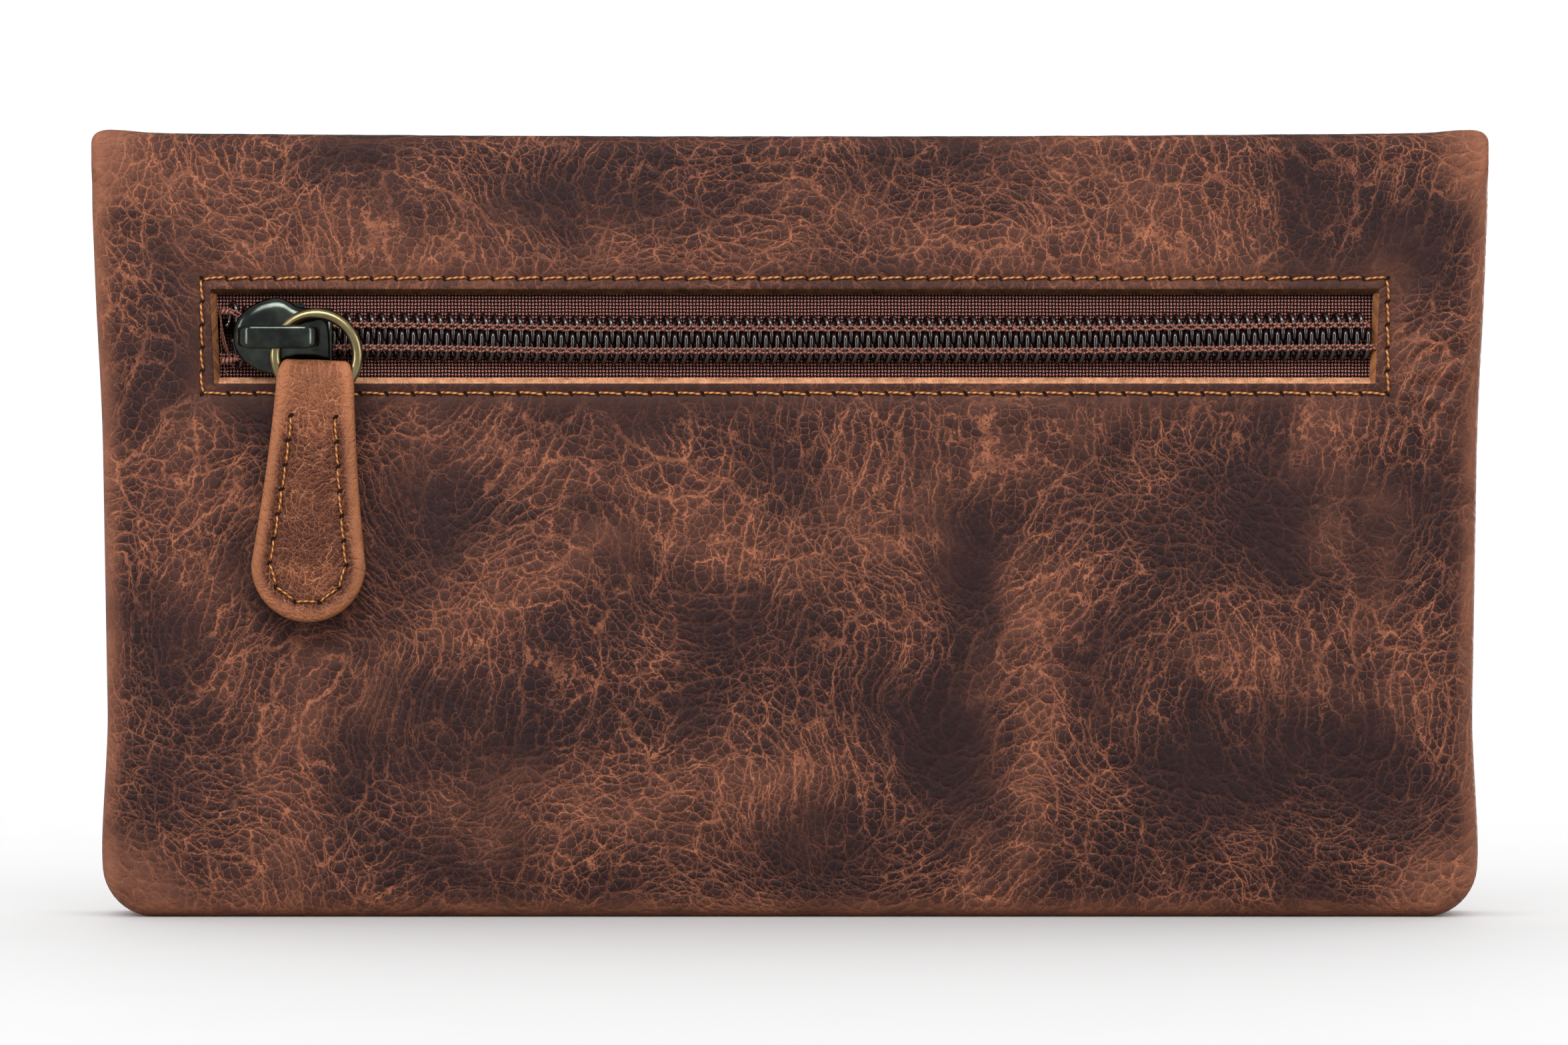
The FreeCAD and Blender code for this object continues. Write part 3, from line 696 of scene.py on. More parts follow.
def color_window_edge(obj, first):
    """Shows cut leather round the window: painted shade on the upper edge, which faces down, a darker copy at both
    ends, raw below. first is the edge's first face.
    """
    for material in (RAW_EDGE, PAINTED_SHADE_EDGE, SIDE_EDGE):
        obj.data.materials.append(material)
    index = np.zeros(len(obj.data.polygons), np.int32)
    middles = np.empty(len(index) * 3, np.float32)
    obj.data.polygons.foreach_get("center", middles)
    x, z = middles[0::3][first:], middles[2::3][first:]
    lower = np.where((x < (WINDOW_X[0] + 0.3) * MM) | (x > (WINDOW_X[1] - 0.3) * MM), 3, 1)
    # The upper edge takes the painted shade, the two ends the darker copy, the lower edge the raw one.
    index[first:] = np.where(z > (ZIP_Z + WINDOW_HALF - 0.1) * MM, 2, lower)
    obj.data.polygons.foreach_set("material_index", index)


def bend_over(obj, fold_name):
    """Bakes a piece's placement into its mesh, the same for the back's fold and the flap's."""
    low, high = (FOLD_START - 1.3) * MM, (TOP - 0.1) * MM
    if fold_name == "back":
        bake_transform(obj)
    else:
        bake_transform(obj)


def finer_beside(start, cut, end):
    """Steps from start to end that lie closer together just outside a cut."""
    low, high = cut[0] - 2.1, cut[1] + 2.1
    return joined(steps(start, low, FINE), steps(low, cut[0], 0.3), steps(*cut, FINE), steps(cut[1], high, 0.3),
                  steps(high, end, FINE))


def build_back():
    """The zipped back panel with its sides, half the base, and the fold over the top to the spine's middle."""
    squeeze = HALF / float(half_width(ZIP_Z))
    cut = CUT_X[0] * squeeze, CUT_X[1] * squeeze
    xs = finer_beside(CORNER - HALF, cut, HALF - CORNER)
    ss = joined(finer_beside(CORNER, CUT_Z, FOLD_START), steps(FOLD_START, FOLD_START + FOLD_RUN, 0.36),
                steps(FOLD_START + FOLD_RUN, MIDDLE, 0.8))
    ring = edge_ring(CORNER, EDGE, HEM, SEAM_Y - BACK_Y, 0.1, wall_until=91.0, hem_from=94.5, border=7.5)
    panel = Panel(xs, ss, ring, hole=grid_hole(xs, ss, cut, CUT_Z))
    outside, edge_from = len(panel.x), len(panel.faces)
    panel.rim(hole_loop(xs, ss, cut, CUT_Z), [(0.05, 0.06), (0.35, 0.5), (0.62, 0.95), (0.7, 1.1), (0.7, 1.36)])

    def place(x, s, d):
        y, z = fold(s, d)
        x = x * half_width(np.clip(z, 0, TOP)) / HALF
        face = smooth((FOLD_START + 2.5 - s) / 5) * smooth(1.4 - d / 2.0)
        y = y - back_relief(x, z) * face
        z = z + crown(x, z) + np.where(s > FOLD_START, fold_grain(x, s), 0)
        return np.stack([x, y, z], 1)

    x, z = panel.flat.T
    out = np.abs(np.minimum(HALF - np.abs(x), z) + 1.0)
    out[outside:] = 40.0
    out = np.minimum(out, 3.3 + 0.7 * np.abs(z - (FOLD_START + FOLD_RUN * 0.5)))
    sewn = frame_distance(x * half_width(np.clip(z, 0, TOP)) / HALF, z, STITCH_X, STITCH_Z)
    obj = leather_object("back_panel_leather", panel, place, hide_masks(x, z, out, 40.0, CALM, WORN, sewn))
    color_window_edge(obj, edge_from)
    bend_over(obj, "back")
    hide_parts("back_leather", "spine_leather")


def fold_grain(x, s):
    """The hide's unevenness over the folds."""
    return 0.05 * wander(x, s, 3.0, 21.0, 2)


def build_flap():
    """The flap and the front half of the fold over the top, as one turned-edge piece."""
    pitch = FINE * 1.45
    xs = steps(-HALF + FLAP_CORNER, HALF - FLAP_CORNER, pitch)
    ss = joined(steps(FLAP_CORNER, FLAP_FLAT, pitch), steps(FLAP_FLAT, FLAP_FLAT + FOLD_RUN, 0.36),
                steps(FLAP_FLAT + FOLD_RUN, FLAP_RUN, 0.8))
    ring = edge_ring(FLAP_CORNER, EDGE, FLAP_HEM, 1.9, 0.1, border=8.2)
    panel = Panel(xs, ss, ring, corner_steps=14)

    def place(x, t, d):
        s = PATTERN_END - t
        thick = np.where(s < MIDDLE + SPINE_RUN / 2, d * (2 * HEM) / FLAP_THICK, d)
        y, z = fold(s, thick)
        x = x * half_width(z) / HALF
        face = smooth((FLAP_FLAT - 1 - t) / 6) * smooth(1.5 - d)
        soft = 0.14 * wander(x, z, 24, 55.0, 2) + 0.05 * wander(x, z, 6, 57.0, 2)
        y = y + (0.12 + soft) * face
        z = z + crown(x, z) + np.where(s < MIDDLE + SPINE_RUN / 2 + FOLD_RUN, fold_grain(x, s), 0)
        return np.stack([x, y, z], 1)

    x, t = panel.flat.T
    out = np.minimum(HALF - np.abs(x), t)
    out = np.minimum(np.abs(out + 1.0), 2.5 + 0.7 * np.abs(t - FLAP_FLAT - FOLD_RUN * 0.5))
    calm = [(-40, 50, 16, 8), (25, 30, 12, 9), (60, 55, 9, 10), (-68, 22, 8, 7), (0, 62, 10, 5)]
    worn = [(-80, 60, -30, 66, 4, 0.8), (-20, 20, 60, 12, 4, 0.9), (0, 46, 50, 44, 3.5, 0.8), (75, 10, 70, 60, 3, 0.7)]
    masks = hide_masks(x, t, out, 70.0, calm, worn)
    obj = leather_object("flap_leather_skin", panel, place, masks, flip=True)
    bend_over(obj, "flap")
    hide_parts("flap_leather")


def front_relief(x, z):
    """How far the front panel stands out from its flat plane."""
    x, z = np.atleast_1d(x).astype(float), np.atleast_1d(z).astype(float)
    return (0.12 * wander(x, z, 22, 91.0, 2) - 0.14) * smooth((FRONT_TOP - HEM - z) / 5) * smooth(z / 8)


def build_front():
    """The front panel with its sides and half the base; its mouth is turned in."""
    lip = FRONT_TOP - HEM
    turned_by = lip + math.pi * HEM
    xs = steps(-HALF + CORNER, HALF - CORNER, FINE * 1.6)
    ss = joined(steps(CORNER, lip, FINE * 1.6), steps(lip, turned_by, 0.3), steps(turned_by, turned_by + 6, 1.2))
    ring = edge_ring(CORNER, EDGE, HEM, FRONT_Y - SEAM_Y, 0.1, wall_until=85.0, hem_from=88.5,
                     thin_from=lip - 0.8, border=4.0)
    panel = Panel(xs, ss, ring)

    def place(x, s, d):
        a = np.clip((s - lip) / HEM, 0, math.pi)
        past = np.maximum(s - turned_by, 0)
        y = np.where(s > lip, FRONT_Y - HEM + (HEM - d) * np.cos(a), FRONT_Y - d)
        z = np.where(s > lip, lip + (HEM - d) * np.sin(a) - past, s)
        x = x * half_width(z) / HALF
        y = y + front_relief(x, z) * smooth(1.4 - d) * (s < lip)
        dip = -0.5 * (1 - np.clip(np.abs(x) / 82, 0, 1) ** 2) * smooth((z - 70) / 20)
        return np.stack([x, y, z + dip], 1)

    x, z = panel.flat.T
    out = np.minimum(np.abs(np.minimum(HALF - np.abs(x), z) + 1.0), 1.5 + np.abs(z - FRONT_TOP))
    calm = [(-50, 14, 14, 6), (10, 12, 12, 5), (60, 16, 10, 6), (0, 60, 30, 12)]
    worn = [(-80, 10, -20, 16, 4, 0.8), (20, 18, 80, 8, 3.5, 0.9)]
    masks = hide_masks(x, z, np.abs(out), 110.0, calm, worn)
    obj = leather_object("front_panel_leather", panel, place, masks, flip=True)
    place_piece(obj, "pouch", "leather", "front_leather")


# ---- linings ----
def thicken(obj, thickness):
    """Gives a cloth its thickness, half of it on each side."""
    solid = obj.modifiers.new("thickness", "SOLIDIFY")
    solid.thickness, solid.offset = thickness * MM, 0.0
    graph = bpy.context.evaluated_depsgraph_get()
    mesh = bpy.data.meshes.new_from_object(obj.evaluated_get(graph))
    obj.modifiers.clear()
    obj.data = mesh


def lining(name, xs, ss, place, x_scale=1.0, hole=None):
    """A thin cloth lining laid out on a grid; x_scale is the millimetres that one step of x stands for."""
    x, s = (values.ravel() for values in np.meshgrid(xs, ss))
    obj = mesh_object(name, place(x, s), grid_faces(len(ss), len(xs), hole), LINING, np.stack([x * x_scale, s], 1))
    thicken(obj, 0.3)
    width, length = (xs[-1] - xs[0]) * x_scale, ss[-1] - ss[0]
    own = sum(face.area for face in obj.data.polygons) / 2
    width * MM
    length * MM
    min(own, 0.999 * width * length * MM * MM)
    return obj


def build_linings():
    unit = steps(-1, 1, 0.02)
    under = THICK + 0.2
    divider_y, front_y, pocket_y = (sum(span(node + "_lining", 1)) / 2 for node in ("divider", "front", "pocket_front"))
    front_z, pocket_z = span("front_lining", 2), span("pocket_front_lining", 2)

    def back_place(x, s):
        y, z = fold(s, under)
        low, high = 1 - smooth((s - 80) / 13), smooth((s - 86) / 6)
        y = y * (1 - low) + (divider_y + 0.15 * wander(x, s, 18, 5.0, 2)) * low
        x = x * ((half_width(np.clip(z, 0, TOP)) - 2.2) * (1 - high) + (HALF - 7.2) * high)
        return np.stack([x, y, z + crown(x, z)], 1)

    def flap_place(x, t):
        s = PATTERN_END - t
        on_flap = smooth((s - MIDDLE - SPINE_RUN / 2 - FOLD_RUN) / 3)
        y, z = fold(s, under + (FLAP_THICK - 0.12 - under) * on_flap)
        x = x * (half_width(z) - 7.2)
        return np.stack([x, y, z + crown(x, z)], 1)

    def front_place(x, z):
        x = x * (half_width(z) - 3.2)
        return np.stack([x, front_y + 0.1 * wander(x, z, 15, 9.0, 2), z], 1)

    rows = joined(steps(2.2, 80, 2.0), steps(80, FOLD_START, 0.8), steps(FOLD_START, FOLD_START + FOLD_RUN, 0.4),
                  steps(FOLD_START + FOLD_RUN, MIDDLE, 0.8))
    back = lining("back_lining_cloth", unit, rows, back_place, HALF - 2)
    bend_over(back, "back")
    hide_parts("divider_lining", "spine_lining")

    rows = joined(steps(7.0, FLAP_FLAT, 1.5), steps(FLAP_FLAT, FLAP_FLAT + FOLD_RUN, 0.4),
                  steps(FLAP_FLAT + FOLD_RUN, FLAP_RUN, 0.8))
    flap = lining("flap_lining_cloth", unit, rows, flap_place, HALF - 7)
    bend_over(flap, "flap")
    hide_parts("flap_lining")

    rows = steps(front_z[0], front_z[1] - 3.0, 1.5)
    front = lining("front_lining_cloth", unit, rows, front_place, HALF - 3)
    place_piece(front, "pouch", "lining", "front_lining")

    hole_x, hole_z = (WINDOW_X[0] - 5, WINDOW_X[1] + 5), (ZIP_Z - WINDOW_HALF - 5, ZIP_Z + WINDOW_HALF + 5)
    outer = float(half_width(60)) - 4
    xs = joined(steps(-outer, hole_x[0], 2), steps(*hole_x, 2), steps(hole_x[1], outer, 2))
    zs = joined(steps(pocket_z[0], hole_z[0], 2), steps(*hole_z, 2), steps(hole_z[1], pocket_z[1], 2))
    pocket = lining("zip_pocket_lining_cloth", xs, zs, lambda x, z: np.stack([x, np.full(len(x), pocket_y), z], 1),
                    hole=grid_hole(xs, zs, hole_x, hole_z))
    place_piece(pocket, "pouch", "lining", "pocket_front_lining")


# ---- stitching ----
def turned(direction, angle=QUARTER):
    """A flat direction at unit length, turned by an angle."""
    x, z = direction / np.linalg.norm(direction)
    return np.array([x * math.cos(angle) - z * math.sin(angle), x * math.sin(angle) + z * math.cos(angle)])


def stitches(threads, holes, corners, lift, pitches, radius, shut=False):
    """Rows of stitches along a line through the corners. lift turns flat points and heights into places in space."""
    corners = np.array(corners, float)
    for k, (a, b, pitch) in enumerate(zip(corners, corners[1:], pitches)):
        count = max(1, int(round(np.linalg.norm(b - a) / pitch)))
        side = turned(b - a) * (-1 if b[0] < a[0] - EPS else 1)
        for i in range(count):
            start, end = a + (b - a) * i / count, a + (b - a) * (i + 1) / count
            single_stitch(threads, holes, start, end, side, lift, radius, 0.14, 1000 * k + i)
    if not shut:
        needle_hole(holes, corners[-1], corners[-1] - corners[-2], lift)


def single_stitch(threads, holes, start, end, side, lift, radius, lean, key):
    vary = noise.noise(Vector((key * 0.731, 2.3, 5.1)))
    t = np.array([0.05, 0.1, 0.17, 0.26, 0.4, 0.5, 0.6, 0.74, 0.83, 0.9, 0.95])
    height = -0.30 + (0.42 + 0.05 * vary) * smooth(np.minimum(t, 1 - t) / 0.2) + radius * 0.5
    swing = lean * (1 + 0.5 * vary) * (2 * t - 1) + 0.10 * np.sin(t * math.pi)
    flat = start + (end - start) * t[:, None] + side * swing[:, None]
    threads.add_tube(lift(flat, height), radius * (0.94 + 0.1 * vary))
    needle_hole(holes, start, end - start, lift)


def needle_hole(holes, at, direction, lift):
    """A slanting cut where the thread goes down: a dark shallow disc on the surface, painted shade for the hole."""
    slant, sides = turned(direction, -0.85), 12
    angles = np.linspace(0, 2 * math.pi, sides, endpoint=False)
    outer, inner = (at + np.outer(np.cos(angles), slant) * long + np.outer(np.sin(angles), turned(slant)) * wide
                    for long, wide in ((0.42, 0.24), (0.32, 0.16)))
    points = [lift(outer, np.full(sides, 0.06)), lift(inner, np.full(sides, 0.05)), lift(at[None], np.array([0.04]))]
    rings = range(sides), range(sides, 2 * sides)
    fan = [[sides + i, sides + (i + 1) % sides, 2 * sides] for i in range(sides)]
    holes.add(np.concatenate(points), band(*rings) + fan)


def build_window_thread():
    def lift(flat, height):
        x, z = flat.T
        return np.stack([x, BACK_Y - back_relief(x, z) - height, z], 1)

    threads, holes = Bundle(), Bundle()
    (x0, x1), (z0, z1) = STITCH_X, STITCH_Z
    corners = [(x0, z1), (x1, z1), (x1, z0), (x0, z0), (x0, z1)]
    stitches(threads, holes, corners, lift, [3.02, 2.7, 3.28, 2.7], 0.155, shut=True)
    place_piece(threads.build("window_thread", THREAD), "pouch", "thread", "window_stitching")
    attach(holes.build("window_needle_holes", HOLE_SHADE), "pouch")


def build_mouth_thread():
    def lift(flat, height):
        x, z = flat.T
        return np.stack([x, FRONT_Y + front_relief(x, z) + height, z], 1)

    threads, holes = Bundle(), Bundle()
    mouth = sum(span("mouth_stitching", 2)) / 2
    stitches(threads, holes, [(x, mouth) for x in span("mouth_stitching", 0)], lift, [3.05], 0.17)
    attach(holes.build("mouth_needle_holes", HOLE_SHADE), "pouch")
    place_piece(threads.build("mouth_thread", THREAD), "pouch", "thread", "mouth_stitching")


# ---- the zip ----
HALVES = {"upper": 1, "lower": -1}
TURN = 1.42              # one turn of the coil
THREAD_ROW = 1.39        # from the chain's middle to its sewing thread
OPEN_END = SLIDER_X[0] + 4.0


def chain_shift(x, side):
    """How far one half of the chain stands off its straight line: parted by the slider, and sagging a little."""
    parted = 1.75 * smooth((OPEN_END - x) / 5.0)
    return parted - 0.45 * smooth((x + 56) / 34) * smooth((72 - x) / 40) * side


def chain_start(side):
    return WINDOW_X[1] - 0.4 - (0.5 * TURN if side > 0 else 0)


def build_coil(word, side):
    """One half of the chain: a continuous filament, flat in front and sewn down along its middle, and its core."""
    front, head = (-7.20, -0.70) if side < 0 else (-7.06, -0.30)
    turn = [
        (0.00, -6.75, head - 0.04), (0.00, front + 0.12, head + 0.08), (0.00, front, head + 0.5), (-0.01, front, 0.7),
        (-0.03, front + 0.06, 1.2), (-0.06, front + 0.02, 1.7), (-0.14, front + 0.10, 2.1), (-0.28, front + 0.32, 2.5),
        (-0.44, front + 0.62, 2.76), (-0.58, -6.30, 2.84), (-0.66, -6.02, 2.66), (-0.72, -5.94, 2.1),
        (-0.84, -5.94, 1.3), (-1.02, -5.96, 0.5), (-1.22, -6.12, head + 0.35), (-1.36, -6.42, head + 0.05),
    ]
    start = chain_start(side)
    places = [start - i * TURN for i in range(int((start - WINDOW_X[0] - 0.4) / TURN))]
    coil, core = Bundle(), Bundle()
    coil.add_tube([(x + dx, y, ZIP_Z + side * (z + chain_shift(x, side))) for x in places for dx, y, z in turn],
                  0.29, sides=10)
    place_piece(coil.build(f"zip_coil_{word}_wire", COIL), "pouch", "coil", "zip_coil_" + word)
    core.add_tube([(x, -6.62, ZIP_Z + side * (THREAD_ROW + chain_shift(x, side)))
                   for x in steps(WINDOW_X[0] + 0.3, WINDOW_X[1] - 0.3, 1.5)], 0.36, sides=10)
    place_piece(core.build(f"core_cord_{word}_yarn", CHAIN_THREAD), "pouch", "cord", "core_cord_" + word)


def build_chain_threads():
    """The lock stitches that hold each coil to its tape: two plies that meet in a knot over every turn."""
    bundle = Bundle()
    for side in HALVES.values():
        start = chain_start(side) + 0.66
        count = int((start - WINDOW_X[0] - 1.0) / TURN)
        for ply in (1, -1):
            path = []
            for i in range(count * 12 + 1):
                x, phase = start - i * TURN / 12, 2 * math.pi * i / 12
                spread = 0.10 + 0.20 * (0.5 - 0.5 * math.cos(phase))
                y = -7.46 - 0.06 * math.cos(phase) - 0.05 * ply * math.sin(phase)
                path.append((x, y, ZIP_Z + side * (THREAD_ROW + chain_shift(x, side)) + ply * spread))
            bundle.add_tube(path, 0.145, sides=7)
        for i in range(count + 1):
            x = start - i * TURN
            middle = ZIP_Z + side * (THREAD_ROW + chain_shift(x, side))
            knot = [(0.24, -7.28, -0.30), (0.12, -7.48, -0.24), (0, -7.56, 0), (-0.10, -7.50, 0.24),
                    (-0.2, -7.30, 0.32)]
            bundle.add_tube([(x + dx, y, middle + dz) for dx, y, dz in knot], 0.17, sides=7)
    place_piece(bundle.build("zip_chain_threads", CHAIN_THREAD), "pouch", "thread")


def build_tape(word, side):
    node = "zip_tape_" + word
    low, high = span(node, 0)
    xs, rows = steps(low + 0.1, high - 0.1, 1.0), steps(0.0, 1.0, 0.05)
    points = []
    for x in xs:
        inner = 0.35 + chain_shift(x, side)
        points += [(x, TAPE_Y, side * (inner + (TAPE_HALF - 0.1 - inner) * r)) for r in rows]
    points = np.array(points)
    uv = points[:, ::2].copy()
    points[:, 2] += ZIP_Z
    points[:, 1] += 0.06 * wander(points[:, 0], points[:, 2], 9, 31.0, 2)
    faces = [[a, d, c, b] for a, b, c, d in grid_faces(len(xs), len(rows))]
    if side < 0:
        faces = [face[::-1] for face in faces]
    obj = mesh_object(node + "_cloth", points, faces, TAPE, uv)
    thicken(obj, 0.4)
    place_piece(obj, "pouch", "tape", node)
    length, width = high - low, TAPE_HALF - 0.45
    length * MM
    width * MM
    0.999 * length * width * MM * MM


def build_loose_fibres():
    """A few fibres of the tape's cut end that show at the open end of the zip."""
    bundle = Bundle()
    for k in range(6):
        x, top, drop = WINDOW_X[0] + 0.05 + 0.09 * k, ZIP_Z + 3.9 - 0.8 * (k % 3), 5.5 + 0.9 * (k % 4)
        bundle.add_tube([(x + 0.10 * math.sin(0.35 * t + k) + 0.004 * t * t * (1 + k % 2),
                          -6.3 - 0.2 * math.sin(0.3 * t + 2 * k) ** 2, top - drop * t / 14) for t in range(15)],
                        0.035, sides=5)
    place_piece(bundle.build("tape_end_fibres", CHAIN_THREAD), "pouch", "tape")


def build_seam_binding():
    """The bound seam round the inside of the sides and base."""
    (y0, y1), top = span("seam_binding", 1), span("seam_binding", 2)[1]
    radius, leg, tape = CORNER - THICK - 0.1, 0.7, 0.25
    turn = np.linspace(0, QUARTER, 8)[1:-1]
    line = [(-1.0, z, -1.0, 0.0) for z in steps(top, CORNER, 3)]
    line += [(-1.0, CORNER, -math.cos(a), -math.sin(a)) for a in turn]
    line += [(x, CORNER, 0.0, -1.0) for x in steps(-1, 1, 0.03)]
    line += [(1.0, CORNER, math.sin(a), -math.cos(a)) for a in turn]
    line += [(1.0, z, 1.0, 0.0) for z in steps(CORNER, top, 3)]
    section = [(y0, 0.0), (y0, leg), (y1, leg), (y1, 0.0), (y1 - tape, 0.0), (y1 - tape, leg - tape),
               (y0 + tape, leg - tape), (y0 + tape, 0.0)]
    points = [(u * (float(half_width(z)) - CORNER) + ex * (radius - depth), y, z + ez * (radius - depth))
              for u, z, ex, ez in line for y, depth in section]
    runs = lengths_along(np.array(points[7::8]))
    late = np.concatenate([[0], runs[:-1]])
    uv = [(run, y + depth) for run in late for y, depth in section]
    rings = [range(i * 8, i * 8 + 8) for i in range(len(line))]
    faces = [face for a, b in zip(rings, rings[1:]) for face in band(a, b)]
    for quad in ((0, 1, 6, 7), (1, 2, 5, 6), (2, 3, 4, 5)):
        faces += [list(quad[::-1]), [rings[-1][k] for k in quad]]
    obj = mesh_object("seam_binding_tape", points, faces, BINDING, uv, smooth_shade=False)
    place_piece(obj, "pouch", "tape", "seam_binding")


# ---- slider, bridge and ring ----
def shield(scale_z, inset):
    """The slider plate's outline from its nose, as points of x and z."""
    half = [(0.0, 0.0), (0.03, 0.7), (0.2, 1.45), (0.62, 2.3), (1.25, 3.05), (2.1, 3.72), (3.1, 4.27), (4.1, 4.62),
            (5.0, 4.82), (5.7, 4.86), (6.35, 4.72), (6.95, 4.40), (7.5, 4.02), (8.1, 3.72), (8.8, 3.58), (10.2, 3.54),
            (11.6, 3.52), (12.2, 3.46), (12.42, 3.26), (12.46, 2.6), (12.46, 1.3)]
    length = SLIDER_X[1] - SLIDER_X[0]
    half = [(x * length / 12.5, z * scale_z) for x, z in half]
    loop = [(SLIDER_X[0] + x, z) for x, z in half] + [(SLIDER_X[0] + x, -z) for x, z in reversed(half[1:])]
    middle = sum(SLIDER_X) / 2
    loop = (np.array(loop) - (middle, 0)) * (1 - inset / (length / 2), 1 - inset / 4.86)
    return loop + (middle, 0)


def plate(bundle, levels, scale_z=1.0):
    """A plate from (inset, y) levels."""
    loops = [(shield(scale_z, inset), y) for inset, y in levels]
    bundle.add_stack([np.stack([loop[:, 0], np.full(len(loop), y), ZIP_Z + loop[:, 1]], 1) for loop, y in loops])


def block(bundle, x_span, y_span, z_span, edge=0.15):
    """A box with its edges chamfered."""
    (x0, x1), (y0, y1), (z0, z1) = x_span, y_span, z_span
    rings = []
    for inset, y in ((edge, y0), (0, y0 + edge), (0, y1 - edge), (edge, y1)):
        e = edge + inset
        rings.append(np.array([
            (x0 + e, y, z0 + inset), (x1 - e, y, z0 + inset), (x1 - inset, y, z0 + e), (x1 - inset, y, z1 - e),
            (x1 - e, y, z1 - inset), (x0 + e, y, z1 - inset), (x0 + inset, y, z1 - e), (x0 + inset, y, z0 + e)]))
    bundle.add_stack(rings)


def sharpen(obj, angle):
    """Keeps edges sharper than the angle crisp."""
    obj.data.set_sharp_from_angle(angle=math.radians(angle))


def build_slider():
    bundle = Bundle()
    plate(bundle, [(3.4, -9.02), (2.6, -9.0), (1.9, -8.95), (1.3, -8.86), (0.9, -8.76), (0.6, -8.64), (0.36, -8.50),
                   (0.16, -8.34), (0.05, -8.18), (0.0, -8.05), (0.04, -7.86), (0.2, -7.78)])
    plate(bundle, [(0.2, -4.94), (0.0, -4.78), (0.0, -4.2), (0.25, -3.97), (1.2, -3.95)], 0.97)
    post = SLIDER_X[0] + 2.3
    block(bundle, (post - 1.1, post + 1.1), (-7.9, -4.8), (ZIP_Z - 0.7, ZIP_Z + 0.7))
    flange, tail_flange = (SLIDER_X[0] + 4.4, SLIDER_X[1] - 3.6), (SLIDER_X[1] - 4.0, SLIDER_X[1] - 0.15)
    for side in HALVES.values():
        for depth in ((-7.9, -7.05), (-5.6, -4.8)):
            block(bundle, flange, depth, sorted((ZIP_Z + side * 3.45, ZIP_Z + side * 4.1)), 0.12)
            block(bundle, tail_flange, depth, sorted((ZIP_Z + side * 3.3, ZIP_Z + side * 3.55)), 0.08)
    obj = bundle.build("slider_shield", GUNMETAL)
    sharpen(obj, 32)
    place_piece(obj, "slider", "gunmetal", "slider_body")


def build_bridge():
    """The flat strap that the ring hangs from, bent down at both ends."""
    (x0, x1), outer_y, foot_y = BRIDGE_X, BRIDGE_Y[0], -8.6
    thick, leg, bend, inner_bend, taper = 0.9, 1.5, 2.1, 0.7, 0.35
    bend_y, inner_y = outer_y + bend, outer_y + thick + inner_bend
    # Outer x and y, then inner x and y: up the left leg and round its bend, over the crown, and the same mirrored.
    left = [(x0, foot_y + (bend_y - foot_y) * t, x0 + leg - taper * t, foot_y + (inner_y - foot_y) * t)
            for t in np.linspace(0, 1, 5)]
    left += [(x0 + bend - bend * math.cos(a), bend_y - bend * math.sin(a),
              x0 + leg - taper + inner_bend - inner_bend * math.cos(a), inner_y - inner_bend * math.sin(a))
             for a in np.linspace(0, QUARTER, 9)[1:]]
    crown_line = [(x0 + bend + (x1 - x0 - 2 * bend) * t, outer_y - 0.10 * math.sin(math.pi * t),
                   x0 + leg + taper + (x1 - x0 - 2 * (leg + taper)) * t,
                   outer_y + thick - 0.10 * math.sin(math.pi * t)) for t in np.linspace(0, 1, 12)[1:-1]]
    right = [(x0 + x1 - a, b, x0 + x1 - c, d) for a, b, c, d in left[::-1]]
    half, corner, drop = (BRIDGE_Z[1] - BRIDGE_Z[0]) / 2, 0.60, 0.34
    rounded = [(half - corner + corner * math.sin(a), drop - drop * math.cos(a)) for a in np.linspace(0, QUARTER, 7)]
    sides = [(-z, d) for z, d in rounded[::-1]] + rounded
    rings = []
    for a, b, c, d in left + crown_line + right:
        outer, inner = np.array((a, b)), np.array((c, d))
        unit = (inner - outer) / np.linalg.norm(inner - outer)
        narrow = 1 - 0.16 * (1 - smooth(min(a - x0, x1 - a) / 1.6))
        ring = [(*(outer + unit * depth), ZIP_Z + z * narrow) for z, depth in sides]
        ring += [(*(inner - unit * depth), ZIP_Z + z * narrow) for z, depth in sides[::-1]]
        rings.append(np.array(ring))
    bundle = Bundle()
    bundle.add_stack(rings)
    obj = bundle.build("slider_strap", GUNMETAL)
    sharpen(obj, 40)
    place_piece(obj, "slider", "gunmetal", "slider_bridge")


def build_ring():
    turns, sides = 128, 24
    points = []
    for a in np.linspace(0, 2 * math.pi, turns, endpoint=False):
        for b in np.linspace(0, 2 * math.pi, sides, endpoint=False):
            r = RING_R + WIRE_R * math.cos(b)
            points.append((RING_X + r * math.cos(a), RING_Y + WIRE_R * math.sin(b), RING_Z + r * math.sin(a)))
    rings = [range(i * sides, (i + 1) * sides) for i in range(turns)]
    bundle = Bundle()
    bundle.add(points, [face for i in range(turns) for face in band(rings[i], rings[(i + 1) % turns])])
    place_piece(bundle.build("brass_ring", BRASS), "ring", "ring_brass", "pull_ring")


# ---- the leather puller ----
LEAN = math.radians(2.2)
PULL_HALF = (span("puller_leather", 1)[1] - span("puller_leather", 1)[0]) / 2
PULL_THICK = 1.1
PULL_TOP = -0.6
PULL_END = -33.3
PULL_FOLD = PULL_TOP - PULL_HALF
NECK, END_R = 4.8, 7.1
ARC_MIDDLE = PULL_END + END_R
BEND_RUN = (PULL_HALF - PULL_THICK / 2) * QUARTER
ARC_RUN = BEND_RUN + PULL_FOLD - ARC_MIDDLE
STITCH_TOP = -7.6
STITCH_INSET = 2.3


